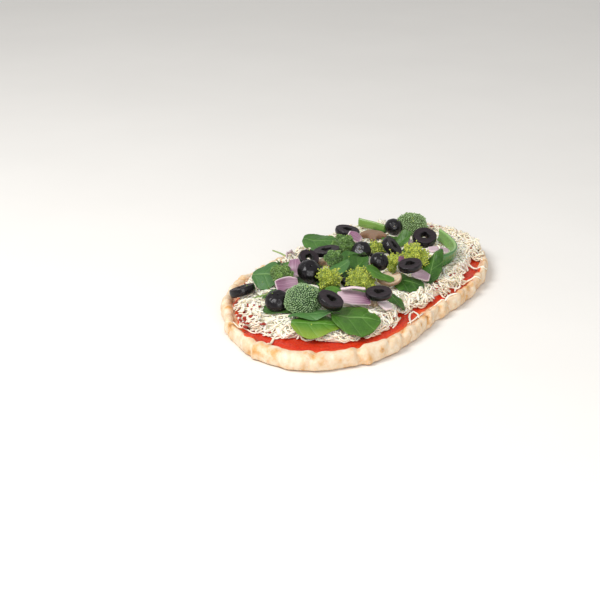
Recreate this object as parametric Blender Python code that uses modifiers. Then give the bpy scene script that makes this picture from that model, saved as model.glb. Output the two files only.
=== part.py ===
"""Vegetable pizza: an oval, hand-stretched crust with tomato sauce, shredded cheese and cut vegetables.

Metres, +Z up. X runs along the crust's length, the crust lies on z = 0, and the origin is the middle of its
box. The vegetables are laid one after another, in the order a cook drops them: each is lowered on to the heap
that is already there until it almost touches. Their rows give millimetres and degrees.
"""

from functools import cache
from math import cos, radians, sin, tau

import bmesh
import bpy
import numpy as np
from mathutils import Matrix, Vector
from mathutils.bvhtree import BVHTree

MM = 0.001
GAP = 0.35 * MM  # air kept between two pieces that touch

# Crust: a superellipse pulled out of true by a few slow waves, with a puffed rim that was pinched by hand.
CRUST_LENGTH = 281 * MM
CRUST_WIDTH = 156.6 * MM
CRUST_SQUARENESS = 2.2
# Each wave's lobes, and its cosine and sine as shares of the crust's size.
CRUST_WAVES = ((1, 0.053, 0.0), (2, 0.0, 0.043), (3, 0.042, -0.024), (4, -0.019, 0.030))
CRUST_STEPS = 84
# Finger marks, in degrees round the rim.
PINCHES = (188, 214, 238, 254, 270, 285, 299, 314, 338, 8, 36, 68, 101, 130, 152, 170)
PINCH_DEPTH = 2.2 * MM
PINCH_DIP = 1.3 * MM
PINCH_SPREAD = 3.6  # degrees
RIM_HEIGHT = 11.5 * MM
RIM_WIDTH = 8.6 * MM
RIM_SWELLS = ((203, 30, 6.2), (330, 38, -3.0), (165, 16, -2.2))  # degrees round, spread, mm wider
# From underneath, over the top, to the floor.
RIM_ANGLES = (-90, -128, -162, -194, -222, -250, -276, -304, -334)
# Share of the rim's width where it is highest, and of its height where it is widest.
RIM_CREST = 0.42
FLOOR_HEIGHT = 6.5 * MM
FLOOR_START = 1.5 * MM  # from the rim's foot to the flat floor

# Sauce and cheese, which lie on the crust's floor.
SAUCE_STEPS = 72
SAUCE_DEPTH = 1.6 * MM
SAUCE_INSET = 1.0 * MM
SAUCE_SECTION = ((0.8, 0.0), (0.0, 0.45), (1.2, 0.9), (4.0, 1.0))  # mm inwards, share of the depth
CHEESE_STEPS = 60
CHEESE_INSET = 3.0 * MM  # band of bare sauce round the cheese
CHEESE_SWELLS = ((196, 22, 8.5), (232, 16, 5.5), (258, 16, 8.5))  # where that band is wider
CHEESE_RAGGED = 1.1 * MM
CHEESE_SHARES = (1.0, 0.95, 0.84, 0.7, 0.54, 0.36, 0.16)  # rings of the mound, from its edge inwards
CHEESE_EDGE = 2.6 * MM
CHEESE_UNDERCUT = 0.6 * MM
CHEESE_MOUND = 9.5 * MM
CHEESE_ROUNDNESS = 0.8
CHEESE_LUMP = 0.9 * MM
CHEESE_LUMP_LENGTH = 8.5 * MM  # a sixth of the way from one lump to the next

# Cut vegetables.
OLIVE_STEPS = 12
OLIVE_HOLE = 0.4  # share of an olive's radius
FLORET_STEPS = 10
# Share of the floret's radius, and its height: stalk lengths below zero, dome heights above.
FLORET_STALK = ((0.2, -1.0), (0.26, -0.35), (0.62, -0.18))
FLORET_DOME = ((0.95, 0.1), (1.0, 0.42), (0.82, 0.76), (0.42, 0.97))
LEAF_STEP = 6.5 * MM
LEAF_THICKNESS = 0.6 * MM
LEAF_CROWN = 0.06  # how far a leaf's middle stands above its edges, as a share of its width
LEAF_SAG = 0.12 * MM
DRAPE_ROUNDS = 120
ONION_THICKNESS = 2.2 * MM
PEPPER_THICKNESS = 3.2 * MM
MUSHROOM_THICKNESS = 3.0 * MM

# Height map of the heap.
CELL = 0.5 * MM
MAP_HALF = (150 * MM, 90 * MM)
ABOVE = 0.2  # a height clear of everything, from which pieces are lowered

COLOURS = {
    "crust": ((0.86, 0.72, 0.50), 0.75),
    "sauce": ((0.62, 0.06, 0.02), 0.35),
    "cheese": ((0.90, 0.86, 0.72), 0.55),
    "olive": ((0.02, 0.015, 0.02), 0.30),
    "broccoli": ((0.16, 0.30, 0.07), 0.65),
    "spinach": ((0.05, 0.16, 0.03), 0.45),
    "onion": ((0.45, 0.20, 0.30), 0.40),
    "pepper": ((0.07, 0.22, 0.03), 0.25),
    "mushroom": ((0.72, 0.58, 0.42), 0.65),
}


def clear_scene():
    for obj in list(bpy.data.objects):
        bpy.data.objects.remove(obj)


def material(kind):
    """The Principled material of a kind of piece."""
    found = bpy.data.materials.get(kind)
    if found:
        return found
    colour, roughness = COLOURS[kind]
    made = bpy.data.materials.new(kind)
    made.use_nodes = True
    shader = made.node_tree.nodes["Principled BSDF"]
    shader.inputs["Base Color"].default_value = (*colour, 1.0)
    shader.inputs["Roughness"].default_value = roughness
    shader.inputs["Metallic"].default_value = 0.0
    return made


def add_object(kind, mesh):
    """An object of this kind: the only one takes the kind's name, and the others are numbered."""
    name = kind
    if kind not in ("crust", "sauce", "cheese"):
        count = sum(obj.name.startswith(kind + "_") for obj in bpy.data.objects)
        name = f"{kind}_{count + 1:02d}"
    obj = bpy.data.objects.new(name, mesh)
    mesh.materials.append(material(kind))
    bpy.data.collections["vegetable_pizza"].objects.link(obj)
    return obj


def lofted(rings):
    """A closed mesh through rings of equally many points, given from the bottom up, with its ends capped."""
    bm = bmesh.new()
    loops = [[bm.verts.new(point) for point in ring] for ring in rings]
    count = len(loops[0])
    for low, high in zip(loops, loops[1:]):
        for i in range(count):
            j = (i + 1) % count
            bm.faces.new((low[i], low[j], high[j], high[i]))
    bm.faces.new(list(reversed(loops[0])))
    bm.faces.new(loops[-1])
    mesh = bpy.data.meshes.new("loft")
    bm.to_mesh(mesh)
    bm.free()
    mesh.shade_smooth()
    return mesh


def sheet(grid, thickness, kind):
    """A piece of even thickness on a grid of points, numpy of rows x columns x 3."""
    rows, columns = grid.shape[:2]
    bm = bmesh.new()
    verts = [[bm.verts.new(grid[r, c]) for c in range(columns)] for r in range(rows)]
    for r in range(rows - 1):
        for c in range(columns - 1):
            bm.faces.new((verts[r][c], verts[r + 1][c], verts[r + 1][c + 1], verts[r][c + 1]))
    mesh = bpy.data.meshes.new(kind)
    bm.to_mesh(mesh)
    bm.free()
    mesh.shade_smooth()
    obj = add_object(kind, mesh)
    solidify = obj.modifiers.new("thickness", "SOLIDIFY")
    solidify.thickness = thickness
    solidify.offset = 0.0
    return obj


# --- crust, sauce and cheese ---


def oval(angle):
    """Distance from the oval's centre to its edge: a superellipse times a few slow waves."""
    c, s = abs(cos(angle)) / (CRUST_LENGTH / 2), abs(sin(angle)) / (CRUST_WIDTH / 2)
    plain = (c**CRUST_SQUARENESS + s**CRUST_SQUARENESS) ** (-1 / CRUST_SQUARENESS)
    return plain * (1 + sum(a * cos(n * angle) + b * sin(n * angle) for n, a, b in CRUST_WAVES))


def pinch(angle):
    """1 where a finger pressed the rim, 0 between."""
    turned = ((np.degrees(angle) - np.array(PINCHES) + 180) % 360 - 180) / PINCH_SPREAD
    return float(np.exp(-(turned**2)).max())


def swell(angle, swells):
    """Sum of soft bumps, each given as degrees round the rim, spread in degrees and height in millimetres."""
    turned = [((np.degrees(angle) - at + 180) % 360 - 180) / spread for at, spread, _ in swells]
    return sum(height * MM * np.exp(-(t**2)) for t, (_, _, height) in zip(turned, swells))


def rim_width(angle):
    return RIM_WIDTH + swell(angle, RIM_SWELLS)


def angles(steps):
    return [tau * i / steps for i in range(steps)]


@cache
def middle_of_oval():
    """Middle of the oval's box, which becomes the origin."""
    points = np.array([(oval(a) * cos(a), oval(a) * sin(a)) for a in angles(720)])
    return (points.min(0) + points.max(0)) / 2


def edge_point(angle, inset, height):
    """A point this far inside the oval's edge and this high."""
    reach = oval(angle) - inset
    middle = middle_of_oval()
    return Vector((reach * cos(angle) - middle[0], reach * sin(angle) - middle[1], height))


def build_crust():
    """Rings over the rim's section, an egg shape with its crest nearer the outside, then the flat floor."""
    rings = []
    for section in RIM_ANGLES:
        across, up = cos(radians(section)), sin(radians(section))
        ring = []
        for angle in angles(CRUST_STEPS):
            width, dent = rim_width(angle), pinch(angle)
            height = RIM_HEIGHT - PINCH_DIP * dent
            waist = RIM_CREST * height
            inset = RIM_CREST * width + across * width * (RIM_CREST if across < 0 else 1 - RIM_CREST)
            inset += PINCH_DEPTH * dent * max(0.0, -across)
            level = waist + up * (waist if up < 0 else height - waist)
            ring.append(edge_point(angle, inset, level))
        rings.append(ring)
    rings.append([edge_point(a, rim_width(a) + FLOOR_START, FLOOR_HEIGHT) for a in angles(CRUST_STEPS)])
    return add_object("crust", lofted(rings))


def sauce_inset(angle):
    """The sauce's edge wanders by a millimetre or so inside the rim."""
    wander = 0.5 + 0.3 * sin(5 * angle + 1.0) + 0.2 * sin(11 * angle)
    return rim_width(angle) + FLOOR_START + SAUCE_INSET * (0.4 + wander)


def build_sauce():
    """A shallow pool with a rounded edge."""
    bottom = FLOOR_HEIGHT + GAP
    rings = [
        [edge_point(a, sauce_inset(a) + inset * MM, bottom + share * SAUCE_DEPTH) for a in angles(SAUCE_STEPS)]
        for inset, share in SAUCE_SECTION
    ]
    return add_object("sauce", lofted(rings))


def cheese_inset(angle):
    """The cheese stops short of the sauce's edge, most at the near end, and its edge is ragged."""
    ragged = CHEESE_RAGGED * (sin(9 * angle + 0.5) + 0.8 * sin(17 * angle) + 0.5 * sin(26 * angle))
    return sauce_inset(angle) + CHEESE_INSET + swell(angle, CHEESE_SWELLS) + ragged


def build_cheese():
    """A low mound: its edge is a few millimetres deep, and its middle carries the heap of vegetables."""
    bottom = FLOOR_HEIGHT + SAUCE_DEPTH + 2 * GAP
    rings = [[edge_point(a, cheese_inset(a) + CHEESE_UNDERCUT, bottom) for a in angles(CHEESE_STEPS)]]
    for share in CHEESE_SHARES:
        ring = []
        for angle in angles(CHEESE_STEPS):
            reach = (oval(angle) - cheese_inset(angle)) * share
            x, y = reach * cos(angle) / CHEESE_LUMP_LENGTH, reach * sin(angle) / CHEESE_LUMP_LENGTH
            rise = (1 - share**2) ** CHEESE_ROUNDNESS
            lump = sin(x + 1.3) * sin(y) + 0.5 * sin(1.7 * x - 1.4 * y)
            height = CHEESE_EDGE + CHEESE_MOUND * rise + CHEESE_LUMP * lump * (0.4 + 0.6 * rise)
            ring.append(edge_point(angle, oval(angle) - reach, bottom + height))
        rings.append(ring)
    return add_object("cheese", lofted(rings))


# --- the heap ---


class Heap:
    """A height map of everything laid so far, so that the next piece can be lowered on to it."""

    def __init__(self):
        self.count = [int(2 * half / CELL) for half in MAP_HALF]
        self.height = np.zeros(self.count)

    def cell(self, x, y):
        return int((x + MAP_HALF[0]) / CELL), int((y + MAP_HALF[1]) / CELL)

    def columns(self, obj):
        """(column, row, underside, top) of each map cell that a vertical line meets the object in."""
        bpy.context.view_layer.update()
        evaluated = obj.evaluated_get(bpy.context.evaluated_depsgraph_get())
        mesh = evaluated.to_mesh()
        points = [evaluated.matrix_world @ v.co for v in mesh.vertices]
        tree = BVHTree.FromPolygons(points, [tuple(p.vertices) for p in mesh.polygons])
        evaluated.to_mesh_clear()
        low = self.cell(min(p.x for p in points), min(p.y for p in points))
        high = self.cell(max(p.x for p in points), max(p.y for p in points))
        for i in range(low[0], high[0] + 1):
            for j in range(low[1], high[1] + 1):
                x, y = (i + 0.5) * CELL - MAP_HALF[0], (j + 0.5) * CELL - MAP_HALF[1]
                top = tree.ray_cast(Vector((x, y, ABOVE)), Vector((0, 0, -1)))[0]
                if top is not None:
                    under = tree.ray_cast(Vector((x, y, -ABOVE)), Vector((0, 0, 1)))[0]
                    yield i, j, under.z if under else top.z, top.z

    def widened(self, cells=1):
        """The height map with each cell raised to its highest neighbour, which keeps steep sides apart."""
        wide = self.height.copy()
        for _ in range(cells):
            padded = np.pad(wide, 1, mode="edge")
            size_x, size_y = self.count
            shifted = [padded[i : i + size_x, j : j + size_y] for i in range(3) for j in range(3)]
            wide = np.max(shifted, axis=0)
        return wide

    def add(self, obj):
        for i, j, _, top in self.columns(obj):
            self.height[i, j] = max(self.height[i, j], top)

    def settle(self, obj):
        """Lowers the object until it lies on the heap, and adds it. It never sinks into a piece below."""
        found = list(self.columns(obj))
        wide = self.widened()
        drop = min(under - wide[i, j] for i, j, under, _ in found) - GAP
        obj.location.z -= drop
        for i, j, _, top in found:
            self.height[i, j] = max(self.height[i, j], top - drop)
        return obj

    def draped(self, xy, stiff):
        """Heights of a sheet laid over the heap at these points: level where it is stiff, sagging between."""
        wide = self.widened(max(1, int(LEAF_STEP / CELL / 3)))
        rest = np.array([[wide[self.cell(x, y)] for x, y in row] for row in xy])
        height = np.full(rest.shape, rest.max())
        for _ in range(DRAPE_ROUNDS):
            padded = np.pad(height, 1, mode="reflect", reflect_type="odd")
            mean = (padded[:-2, 1:-1] + padded[2:, 1:-1] + padded[1:-1, :-2] + padded[1:-1, 2:]) / 4
            height = np.maximum(rest, stiff * mean + (1 - stiff) * height - LEAF_SAG)
        return height


def leaning(turn, tilt, toward):
    """Turned about +Z, then tipped so that its top leans toward a compass direction, counted from +X."""
    way = radians(toward)
    axis = Vector((-sin(way), cos(way), 0))
    return Matrix.Rotation(radians(tilt), 4, axis) @ Matrix.Rotation(radians(turn), 4, "Z")


def lay(heap, obj, at, turn=0.0, tilt=0.0, toward=0.0):
    obj.matrix_world = Matrix.Translation((at[0] * MM, at[1] * MM, ABOVE / 2)) @ leaning(turn, tilt, toward)
    return heap.settle(obj)


# --- cut vegetables ---


def turned(profile, steps, kind):
    """A closed profile of (radius, height), down its outer side, turned about Z."""
    mesh = bpy.data.meshes.new(kind)
    bm = bmesh.new()
    verts = [bm.verts.new((r, 0, z)) for r, z in profile]
    for a, b in zip(verts, verts[1:] + verts[:1]):
        bm.edges.new((a, b))
    bm.to_mesh(mesh)
    bm.free()
    obj = add_object(kind, mesh)
    screw = obj.modifiers.new("turn", "SCREW")
    screw.steps = screw.render_steps = steps
    screw.use_smooth_shade = True
    screw.use_merge_vertices = True
    screw.merge_threshold = 0.00001
    return obj


def olive_ring(radius, height):
    """A slice across a pitted olive: the skin bulges a little between its two flat cuts."""
    r, h, hole = radius * MM, height * MM / 2, radius * OLIVE_HOLE * MM
    profile = ((hole, h), (0.93 * r, h), (r, 0.45 * h), (r, -0.45 * h), (0.93 * r, -h), (hole, -h))
    return turned(profile, OLIVE_STEPS, "olive")


def olive_end(radius, height):
    """The rounded end of a pitted olive, cut side down, with the pitting hole through it."""
    r, h, hole = radius * MM, height * MM, radius * OLIVE_HOLE * MM
    dome = ((0.45 * hole, h), (0.55 * r, 0.88 * h), (0.88 * r, 0.5 * h), (r, 0.06 * h))
    return turned((*dome, (0.96 * r, 0), (hole, 0)), OLIVE_STEPS, "olive")


def floret(radius, height, stalk, phase):
    """A broccoli crown with a lumpy dome over a short stalk, its rings from the stalk's foot to the top."""
    rings = []
    for share, level in FLORET_STALK + FLORET_DOME:
        z = level * (stalk if level < 0 else height) * MM
        fade = min(1.0, 2 * share - 0.3)
        ring = []
        for angle in angles(FLORET_STEPS):
            lump = 0.1 * sin(3 * angle + phase) + 0.07 * sin(5 * angle - 2 * phase)
            reach = share * radius * MM * (1 + lump * fade)
            ring.append(Vector((reach * cos(angle), reach * sin(angle), z)))
        rings.append(ring)
    return add_object("broccoli", lofted(rings))


def leaf_outline(along):
    """Half width of a leaf as a share of its greatest, from the stem end at 0 to the tip at 1."""
    return sin(np.pi * (0.04 + 0.92 * along) ** 0.8) ** 0.75


def leaf_grid(length, width):
    """Flat points of a leaf, rows along it and columns across, with its middle at the origin."""
    rows = max(6, round(length * MM / LEAF_STEP)) + 1
    columns = 5 if width < 30 else 7
    grid = np.zeros((rows, columns, 3))
    for r in range(rows):
        along = r / (rows - 1)
        half = width / 2 * MM * leaf_outline(along)
        grid[r, :, 0] = (along - 0.5) * length * MM
        grid[r, :, 1] = np.linspace(half, -half, columns)
    return grid


def lay_leaf(heap, at, turn, length, width, stiff=0.85, tilt=0.0, toward=0.0, fold=0.0):
    """A spinach leaf draped over the heap. Tilt leans all of it, and fold lifts both halves from the midrib,
    in degrees. An unfolded leaf is slightly crowned instead."""
    grid = leaf_grid(length, width)
    side = grid[:, :, 1].copy()
    if fold:
        grid[:, :, 1] = side * cos(radians(fold))
        grid[:, :, 2] = np.abs(side) * sin(radians(fold))
    else:
        grid[:, :, 2] = LEAF_CROWN * width * MM * (1 - (side / (width / 2 * MM)) ** 2)
    pose = leaning(turn, tilt, toward).to_3x3()
    world = grid @ np.array(pose).T + np.array((at[0] * MM, at[1] * MM, 0.0))
    world[:, :, 2] += heap.draped(world[:, :, :2], stiff)
    origin = Vector((at[0] * MM, at[1] * MM, 0))
    obj = sheet(world - np.array(origin), LEAF_THICKNESS, "spinach")
    obj.location = origin + Vector((0, 0, ABOVE / 2))
    return heap.settle(obj)


def onion_petal(length, width, bulge):
    """A piece of one onion layer: a patch of round skin, curved across by bulge degrees and half that along.
    With a negative bulge it lies like a cup."""
    rows, columns = 6, 4
    grid = np.zeros((rows, columns, 3))
    radius_across = width / (2 * sin(radians(bulge) / 2)) * MM
    radius_along = length / (2 * sin(radians(bulge) / 4)) * MM
    for r in range(rows):
        along = r / (rows - 1) - 0.5
        narrow = 1 - 1.1 * abs(along) ** 1.6
        for c in range(columns):
            side = (c / (columns - 1) - 0.5) * radians(bulge) * narrow
            x = radius_along * sin(along * radians(bulge) / 2)
            sag = radius_along * (1 - cos(along * radians(bulge) / 2))
            grid[r, c] = (x, -radius_across * sin(side), radius_across * (cos(side) - 1) - sag)
    return sheet(grid, ONION_THICKNESS, "onion")


def pepper_strip(length, width, bend):
    """A strip of pepper wall, standing on its long edge and bent along an arc of this many degrees."""
    rows = 9
    radius = length * MM / radians(bend)
    grid = np.zeros((rows, 3, 3))
    for r in range(rows):
        angle = (r / (rows - 1) - 0.5) * radians(bend)
        for c in range(3):
            reach = radius + 0.08 * width * MM * (1 - (c - 1) ** 2)
            grid[r, c] = (reach * sin(angle), reach * cos(angle) - radius, (1 - c) * width * MM / 2)
    return sheet(grid, PEPPER_THICKNESS, "pepper")


def mushroom_slice(width, height):
    """A slice down through a mushroom: the cap's arch over a short stem, lying flat."""
    cap = [(0.5 * cos(a) * width, height * (0.38 + 0.62 * sin(a))) for a in np.linspace(0, np.pi, 11)]
    under = [(-0.42 * width, 0.3 * height), (-0.13 * width, 0.26 * height), (-0.11 * width, 0.0)]
    outline = cap + under + [(-x, y) for x, y in reversed(under)]
    bm = bmesh.new()
    bm.faces.new([bm.verts.new((x * MM, (y - 0.5 * height) * MM, 0)) for x, y in outline])
    mesh = bpy.data.meshes.new("mushroom")
    bm.to_mesh(mesh)
    bm.free()
    obj = add_object("mushroom", mesh)
    solidify = obj.modifiers.new("thickness", "SOLIDIFY")
    solidify.thickness = MUSHROOM_THICKNESS
    solidify.offset = 0.0
    return obj


# --- the order of laying ---


def lay_greens(heap):
    """What lies on the cheese itself: the large leaves, the long pepper strip and the mushroom slices."""
    lay_leaf(heap, (-85, 4), turn=-62, length=34, width=18, stiff=0.6)
    lay_leaf(heap, (-95, -27), turn=-60, length=35, width=28, stiff=0.6)
    lay_leaf(heap, (-74, -45), turn=-52, length=34, width=38, stiff=0.7)
    lay_leaf(heap, (-52, 42), turn=-70, length=27, width=26, tilt=22, toward=215)
    lay_leaf(heap, (37, 59), turn=-75, length=27, width=24, tilt=18, toward=225)
    lay_leaf(heap, (-28, -49), turn=-110, length=19, width=12, tilt=12, toward=290)
    lay_leaf(heap, (-2, -43), turn=-60, length=24, width=24, tilt=8, toward=250)
    lay(heap, pepper_strip(66, 9, 95), (70, -42), turn=207, tilt=10, toward=300)
    lay_leaf(heap, (32, -45), turn=20, length=42, width=15, tilt=15, toward=270)
    lay_leaf(heap, (-38, 18), turn=-50, length=19, width=15)
    lay(heap, mushroom_slice(19, 16), (-12, -34), turn=150, tilt=15, toward=215)
    lay(heap, mushroom_slice(22, 14), (63, 26), turn=-60, tilt=10, toward=215)
    lay(heap, mushroom_slice(18, 12), (-8, 20), turn=-40, tilt=8, toward=215)
    lay(heap, mushroom_slice(11, 8), (-47, -42), turn=-30, tilt=10, toward=230)


def lay_near_end(heap):
    """The near end: a folded leaf, the big floret and the first olives, with onion between."""
    lay_leaf(heap, (-89, -21), turn=-60, length=36, width=13, stiff=0.5)
    lay(heap, olive_ring(9.3, 6), (-77, 49), tilt=22, toward=85)
    lay(heap, olive_end(9.3, 8), (-87, 11), tilt=18, toward=215)
    lay(heap, floret(11.2, 12, 4, 0.4), (-82, -7), tilt=25, toward=215)
    lay(heap, onion_petal(16, 14, -100), (-63, 20), turn=-40, tilt=35, toward=230)
    lay_leaf(heap, (-55, -18), turn=-80, length=20, width=11, tilt=20, toward=235)
    lay(heap, onion_petal(23, 14, 90), (-57, -33), turn=-55, tilt=20, toward=235)
    lay(heap, onion_petal(10, 9, 70), (-47, -52), turn=-110, tilt=20, toward=270)
    lay(heap, olive_ring(9.4, 5), (-80, -28), tilt=24, toward=281)
    lay(heap, olive_ring(9.0, 4.2), (-48, -47), tilt=6, toward=200)
    lay(heap, onion_petal(17, 8, 60), (-56, -31), turn=-60, tilt=25, toward=35)
    lay(heap, floret(7.2, 7, 4, 1.9), (-55, 31), tilt=20, toward=215)
    lay(heap, onion_petal(14, 9, 80), (-43, 27), turn=35, tilt=45, toward=200)


def lay_far_end(heap):
    """The far end: florets, onion and olives up to the edge of the heap."""
    lay(heap, onion_petal(16, 7, 60), (69, -29), turn=-60, tilt=15, toward=230)
    lay(heap, olive_ring(9.2, 6), (75, -13), tilt=24, toward=225)
    lay(heap, onion_petal(6, 6, 60), (66, -3), turn=-60, tilt=30, toward=215)
    lay(heap, pepper_strip(24, 6.5, 14), (84, 40), turn=-86, tilt=10, toward=215)
    lay(heap, floret(7.4, 9, 6, 0.9), (21, 26), tilt=15, toward=215)
    lay(heap, olive_ring(9.5, 4.5), (63, 50), tilt=8, toward=300)
    lay(heap, onion_petal(11, 8, 60), (49, 34), turn=-80, tilt=40, toward=230)
    lay(heap, floret(9.5, 9, 7, 2.6), (29, -31), tilt=35, toward=280)
    lay(heap, onion_petal(13, 11, 80), (11, -47), turn=-70, tilt=20, toward=250)
    lay(heap, olive_end(6.8, 8), (85, 21), tilt=65, toward=215)
    lay(heap, floret(11, 9, 5, 3.3), (100, 13), tilt=15, toward=215)


def lay_middle(heap):
    """The top of the heap, along its middle."""
    lay(heap, floret(5.8, 6.5, 4, 4.0), (-12, 14), tilt=25, toward=215)
    lay(heap, olive_ring(10, 4), (0, 28), tilt=9, toward=100)
    lay(heap, olive_ring(7.6, 5), (-21, 30), tilt=35, toward=245)
    lay(heap, floret(7.6, 12, 5, 5.1), (-42, -1), tilt=35, toward=240)
    lay_leaf(heap, (-10, -4), turn=5, length=30, width=22, tilt=15, toward=215, fold=35)
    lay(heap, olive_end(9, 9), (-41, 16), tilt=35, toward=230)
    lay(heap, olive_end(4, 4), (-33, -11), tilt=20, toward=215)
    lay(heap, floret(9.6, 8, 4, 0.2), (-28, -20), tilt=30, toward=240)
    lay_leaf(heap, (-20, -31), turn=-60, length=20, width=10, tilt=15, toward=215)
    lay(heap, floret(3.8, 9, 6, 2.2), (8, -23), tilt=25, toward=250)
    lay(heap, onion_petal(8, 7, 70), (28, -19), turn=-60, tilt=30, toward=215)
    lay(heap, olive_ring(8.7, 4.5), (3, -42), tilt=9, toward=170)
    lay(heap, floret(5.2, 6, 3, 3.0), (35, 6), tilt=20, toward=215)
    lay(heap, olive_end(8, 6), (17, 8), tilt=45, toward=190)
    lay_leaf(heap, (63, -1), turn=-40, length=12, width=14, tilt=20, toward=215, fold=25)
    lay(heap, olive_ring(9, 6), (36, -7), tilt=45, toward=295)
    lay(heap, olive_end(7, 8), (-9, -22), tilt=65, toward=250)


def main():
    clear_scene()
    bpy.context.scene.collection.children.link(bpy.data.collections.new("vegetable_pizza"))
    heap = Heap()
    heap.add(build_crust())
    heap.add(build_sauce())
    heap.add(build_cheese())
    lay_greens(heap)
    lay_near_end(heap)
    lay_far_end(heap)
    lay_middle(heap)


main()
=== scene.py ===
"""Looks of a vegetable pizza, laid out as a Blender add-on.

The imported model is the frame. Each operator measures its own nodes there, works out finished surfaces as
whole numpy arrays, and puts them in the nodes' place. Metres, +Z up.
"""

from itertools import product
from math import cos, pi, radians, sin, tau

import bpy
import numpy as np
from bpy.props import FloatProperty, FloatVectorProperty, IntProperty, PointerProperty
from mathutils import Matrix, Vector
from mathutils.bvhtree import BVHTree


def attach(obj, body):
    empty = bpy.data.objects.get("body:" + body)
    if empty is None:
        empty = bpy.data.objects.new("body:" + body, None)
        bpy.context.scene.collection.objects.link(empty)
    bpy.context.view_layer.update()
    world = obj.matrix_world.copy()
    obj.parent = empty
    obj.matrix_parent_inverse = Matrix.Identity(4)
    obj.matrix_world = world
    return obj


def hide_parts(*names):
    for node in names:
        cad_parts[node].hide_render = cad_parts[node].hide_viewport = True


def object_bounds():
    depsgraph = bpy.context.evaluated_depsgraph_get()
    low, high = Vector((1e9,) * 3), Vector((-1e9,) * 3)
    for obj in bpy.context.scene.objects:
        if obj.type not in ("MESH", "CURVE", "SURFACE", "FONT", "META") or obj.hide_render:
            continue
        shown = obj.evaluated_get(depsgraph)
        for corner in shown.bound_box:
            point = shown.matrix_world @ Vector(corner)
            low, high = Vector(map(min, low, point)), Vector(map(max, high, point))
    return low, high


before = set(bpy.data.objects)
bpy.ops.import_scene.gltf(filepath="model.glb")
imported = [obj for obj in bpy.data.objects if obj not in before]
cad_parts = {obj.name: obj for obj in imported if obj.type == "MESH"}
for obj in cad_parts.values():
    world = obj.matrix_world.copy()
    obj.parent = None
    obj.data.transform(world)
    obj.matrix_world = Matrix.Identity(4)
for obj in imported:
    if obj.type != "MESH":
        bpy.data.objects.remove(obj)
CAD_BOX = [list(corner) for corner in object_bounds()]

bl_info = {
    "name": "Vegetable Pizza",
    "version": (1, 0, 0),
    "blender": (4, 5, 0),
    "location": "3D View > Sidebar > Pizza",
    "description": "Finishes a packed vegetable pizza: crust, sauce, shredded cheese and cut vegetables",
    "category": "Add Mesh",
}

MM = 0.001
NODES = sorted(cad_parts)
GOLDEN = pi * (3 - 5**0.5)
MAP_CELL = 0.5 * MM
FAR = 0.3  # outside everything
# Heights at which the outlines of the crust, the sauce and the cheese are read.
CRUST_LEVEL = 4.6 * MM
SAUCE_LEVEL = 8.1 * MM
CHEESE_LEVEL = 10.2 * MM
CORE_CLEARANCE = 2.8 * MM  # room for the shreds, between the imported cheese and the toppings
PILE = 1.5 * MM  # how far shreds may stand above the cheese's own surface
SIDE_VEINS = 6.5  # twice the number of side veins along a leaf
VEIN_LEAN = 1.7  # how far they bend toward the tip, counted in the same way
LEAF_ROUNDING = 0.3 * MM
ONION_THICKNESS = 2.0 * MM
PEPPER_THICKNESS = 3.0 * MM
MUSHROOM_THICKNESS = 3.0 * MM
CRUMBS = 120
CAMERA_AZIMUTH = radians(-55.5)
CAMERA_ELEVATION = radians(22.9)
CAMERA_AIM = Vector((-33.85, 28.83, 0.0)) * MM
SKY_STRENGTH = 0.52
FLOOR_HALF = 6.0

# How open each floret is: 0 has tight green buds, 1 has loose yellow ones on bare pale branches.
FLORET_AGE = {
    "broccoli_01": 0.0,
    "broccoli_02": 0.15,
    "broccoli_03": 0.1,
    "broccoli_04": 0.9,
    "broccoli_05": 0.12,
    "broccoli_06": 0.05,
    "broccoli_07": 0.85,
    "broccoli_08": 0.75,
    "broccoli_09": 1.0,
    "broccoli_10": 0.8,
}
OLIVE_ENDS = ("olive_02", "olive_07", "olive_10", "olive_11", "olive_13", "olive_15")


def linear(hex_colour):
    """Linear RGBA of an sRGB hex colour."""
    channels = [int(hex_colour[i : i + 2], 16) / 255 for i in (1, 3, 5)]
    return (*(c / 12.92 if c <= 0.04045 else ((c + 0.055) / 1.055) ** 2.4 for c in channels), 1.0)


# --- settings ---


def colour_setting(name, description, hex_colour):
    return FloatVectorProperty(
        name=name, description=description, default=linear(hex_colour), size=4, min=0, max=1, subtype="COLOR"
    )


def length_setting(name, description, millimetres):
    return FloatProperty(
        name=name, description=description, default=millimetres * MM, min=0, unit="LENGTH", precision=4
    )


class StageSettings(bpy.types.PropertyGroup):
    floor: colour_setting("Floor", "Colour of the studio floor", "#EFECE7")
    light: FloatProperty(
        name="Light", description="Power of the main lamp", default=13.2, min=0, unit="POWER"
    )
    lens: FloatProperty(name="Lens", description="Focal length in millimetres", default=84.0, min=20)
    distance: FloatProperty(
        name="Distance", description="From the camera to the pizza", default=1.029, unit="LENGTH"
    )


class CrustSettings(bpy.types.PropertyGroup):
    dough: colour_setting("Dough", "Pale baked dough", "#EBD9BE")
    golden: colour_setting("Golden", "Dough where the oven coloured it", "#DBA768")
    # The toasted colour also paints a shadow line along the crust's foot.
    toasted: colour_setting("Toasted", "Dough on blisters and on the foot", "#A0642F")
    lump: length_setting("Lumps", "Height of the soft lumps of the rim", 1.15)
    crease: length_setting("Creases", "Depth of the folds between finger marks", 2.1)
    blisters: IntProperty(name="Blisters", description="Bubbles of the baked skin", default=70, min=0)


class SauceSettings(bpy.types.PropertyGroup):
    tomato: colour_setting("Tomato", "Cooked tomato sauce", "#D43414")
    thin: colour_setting("Thin sauce", "Sauce that has thinned to a film", "#DC5220")
    wander: length_setting("Wander", "How far the sauce's edge wanders", 1.8)


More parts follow.
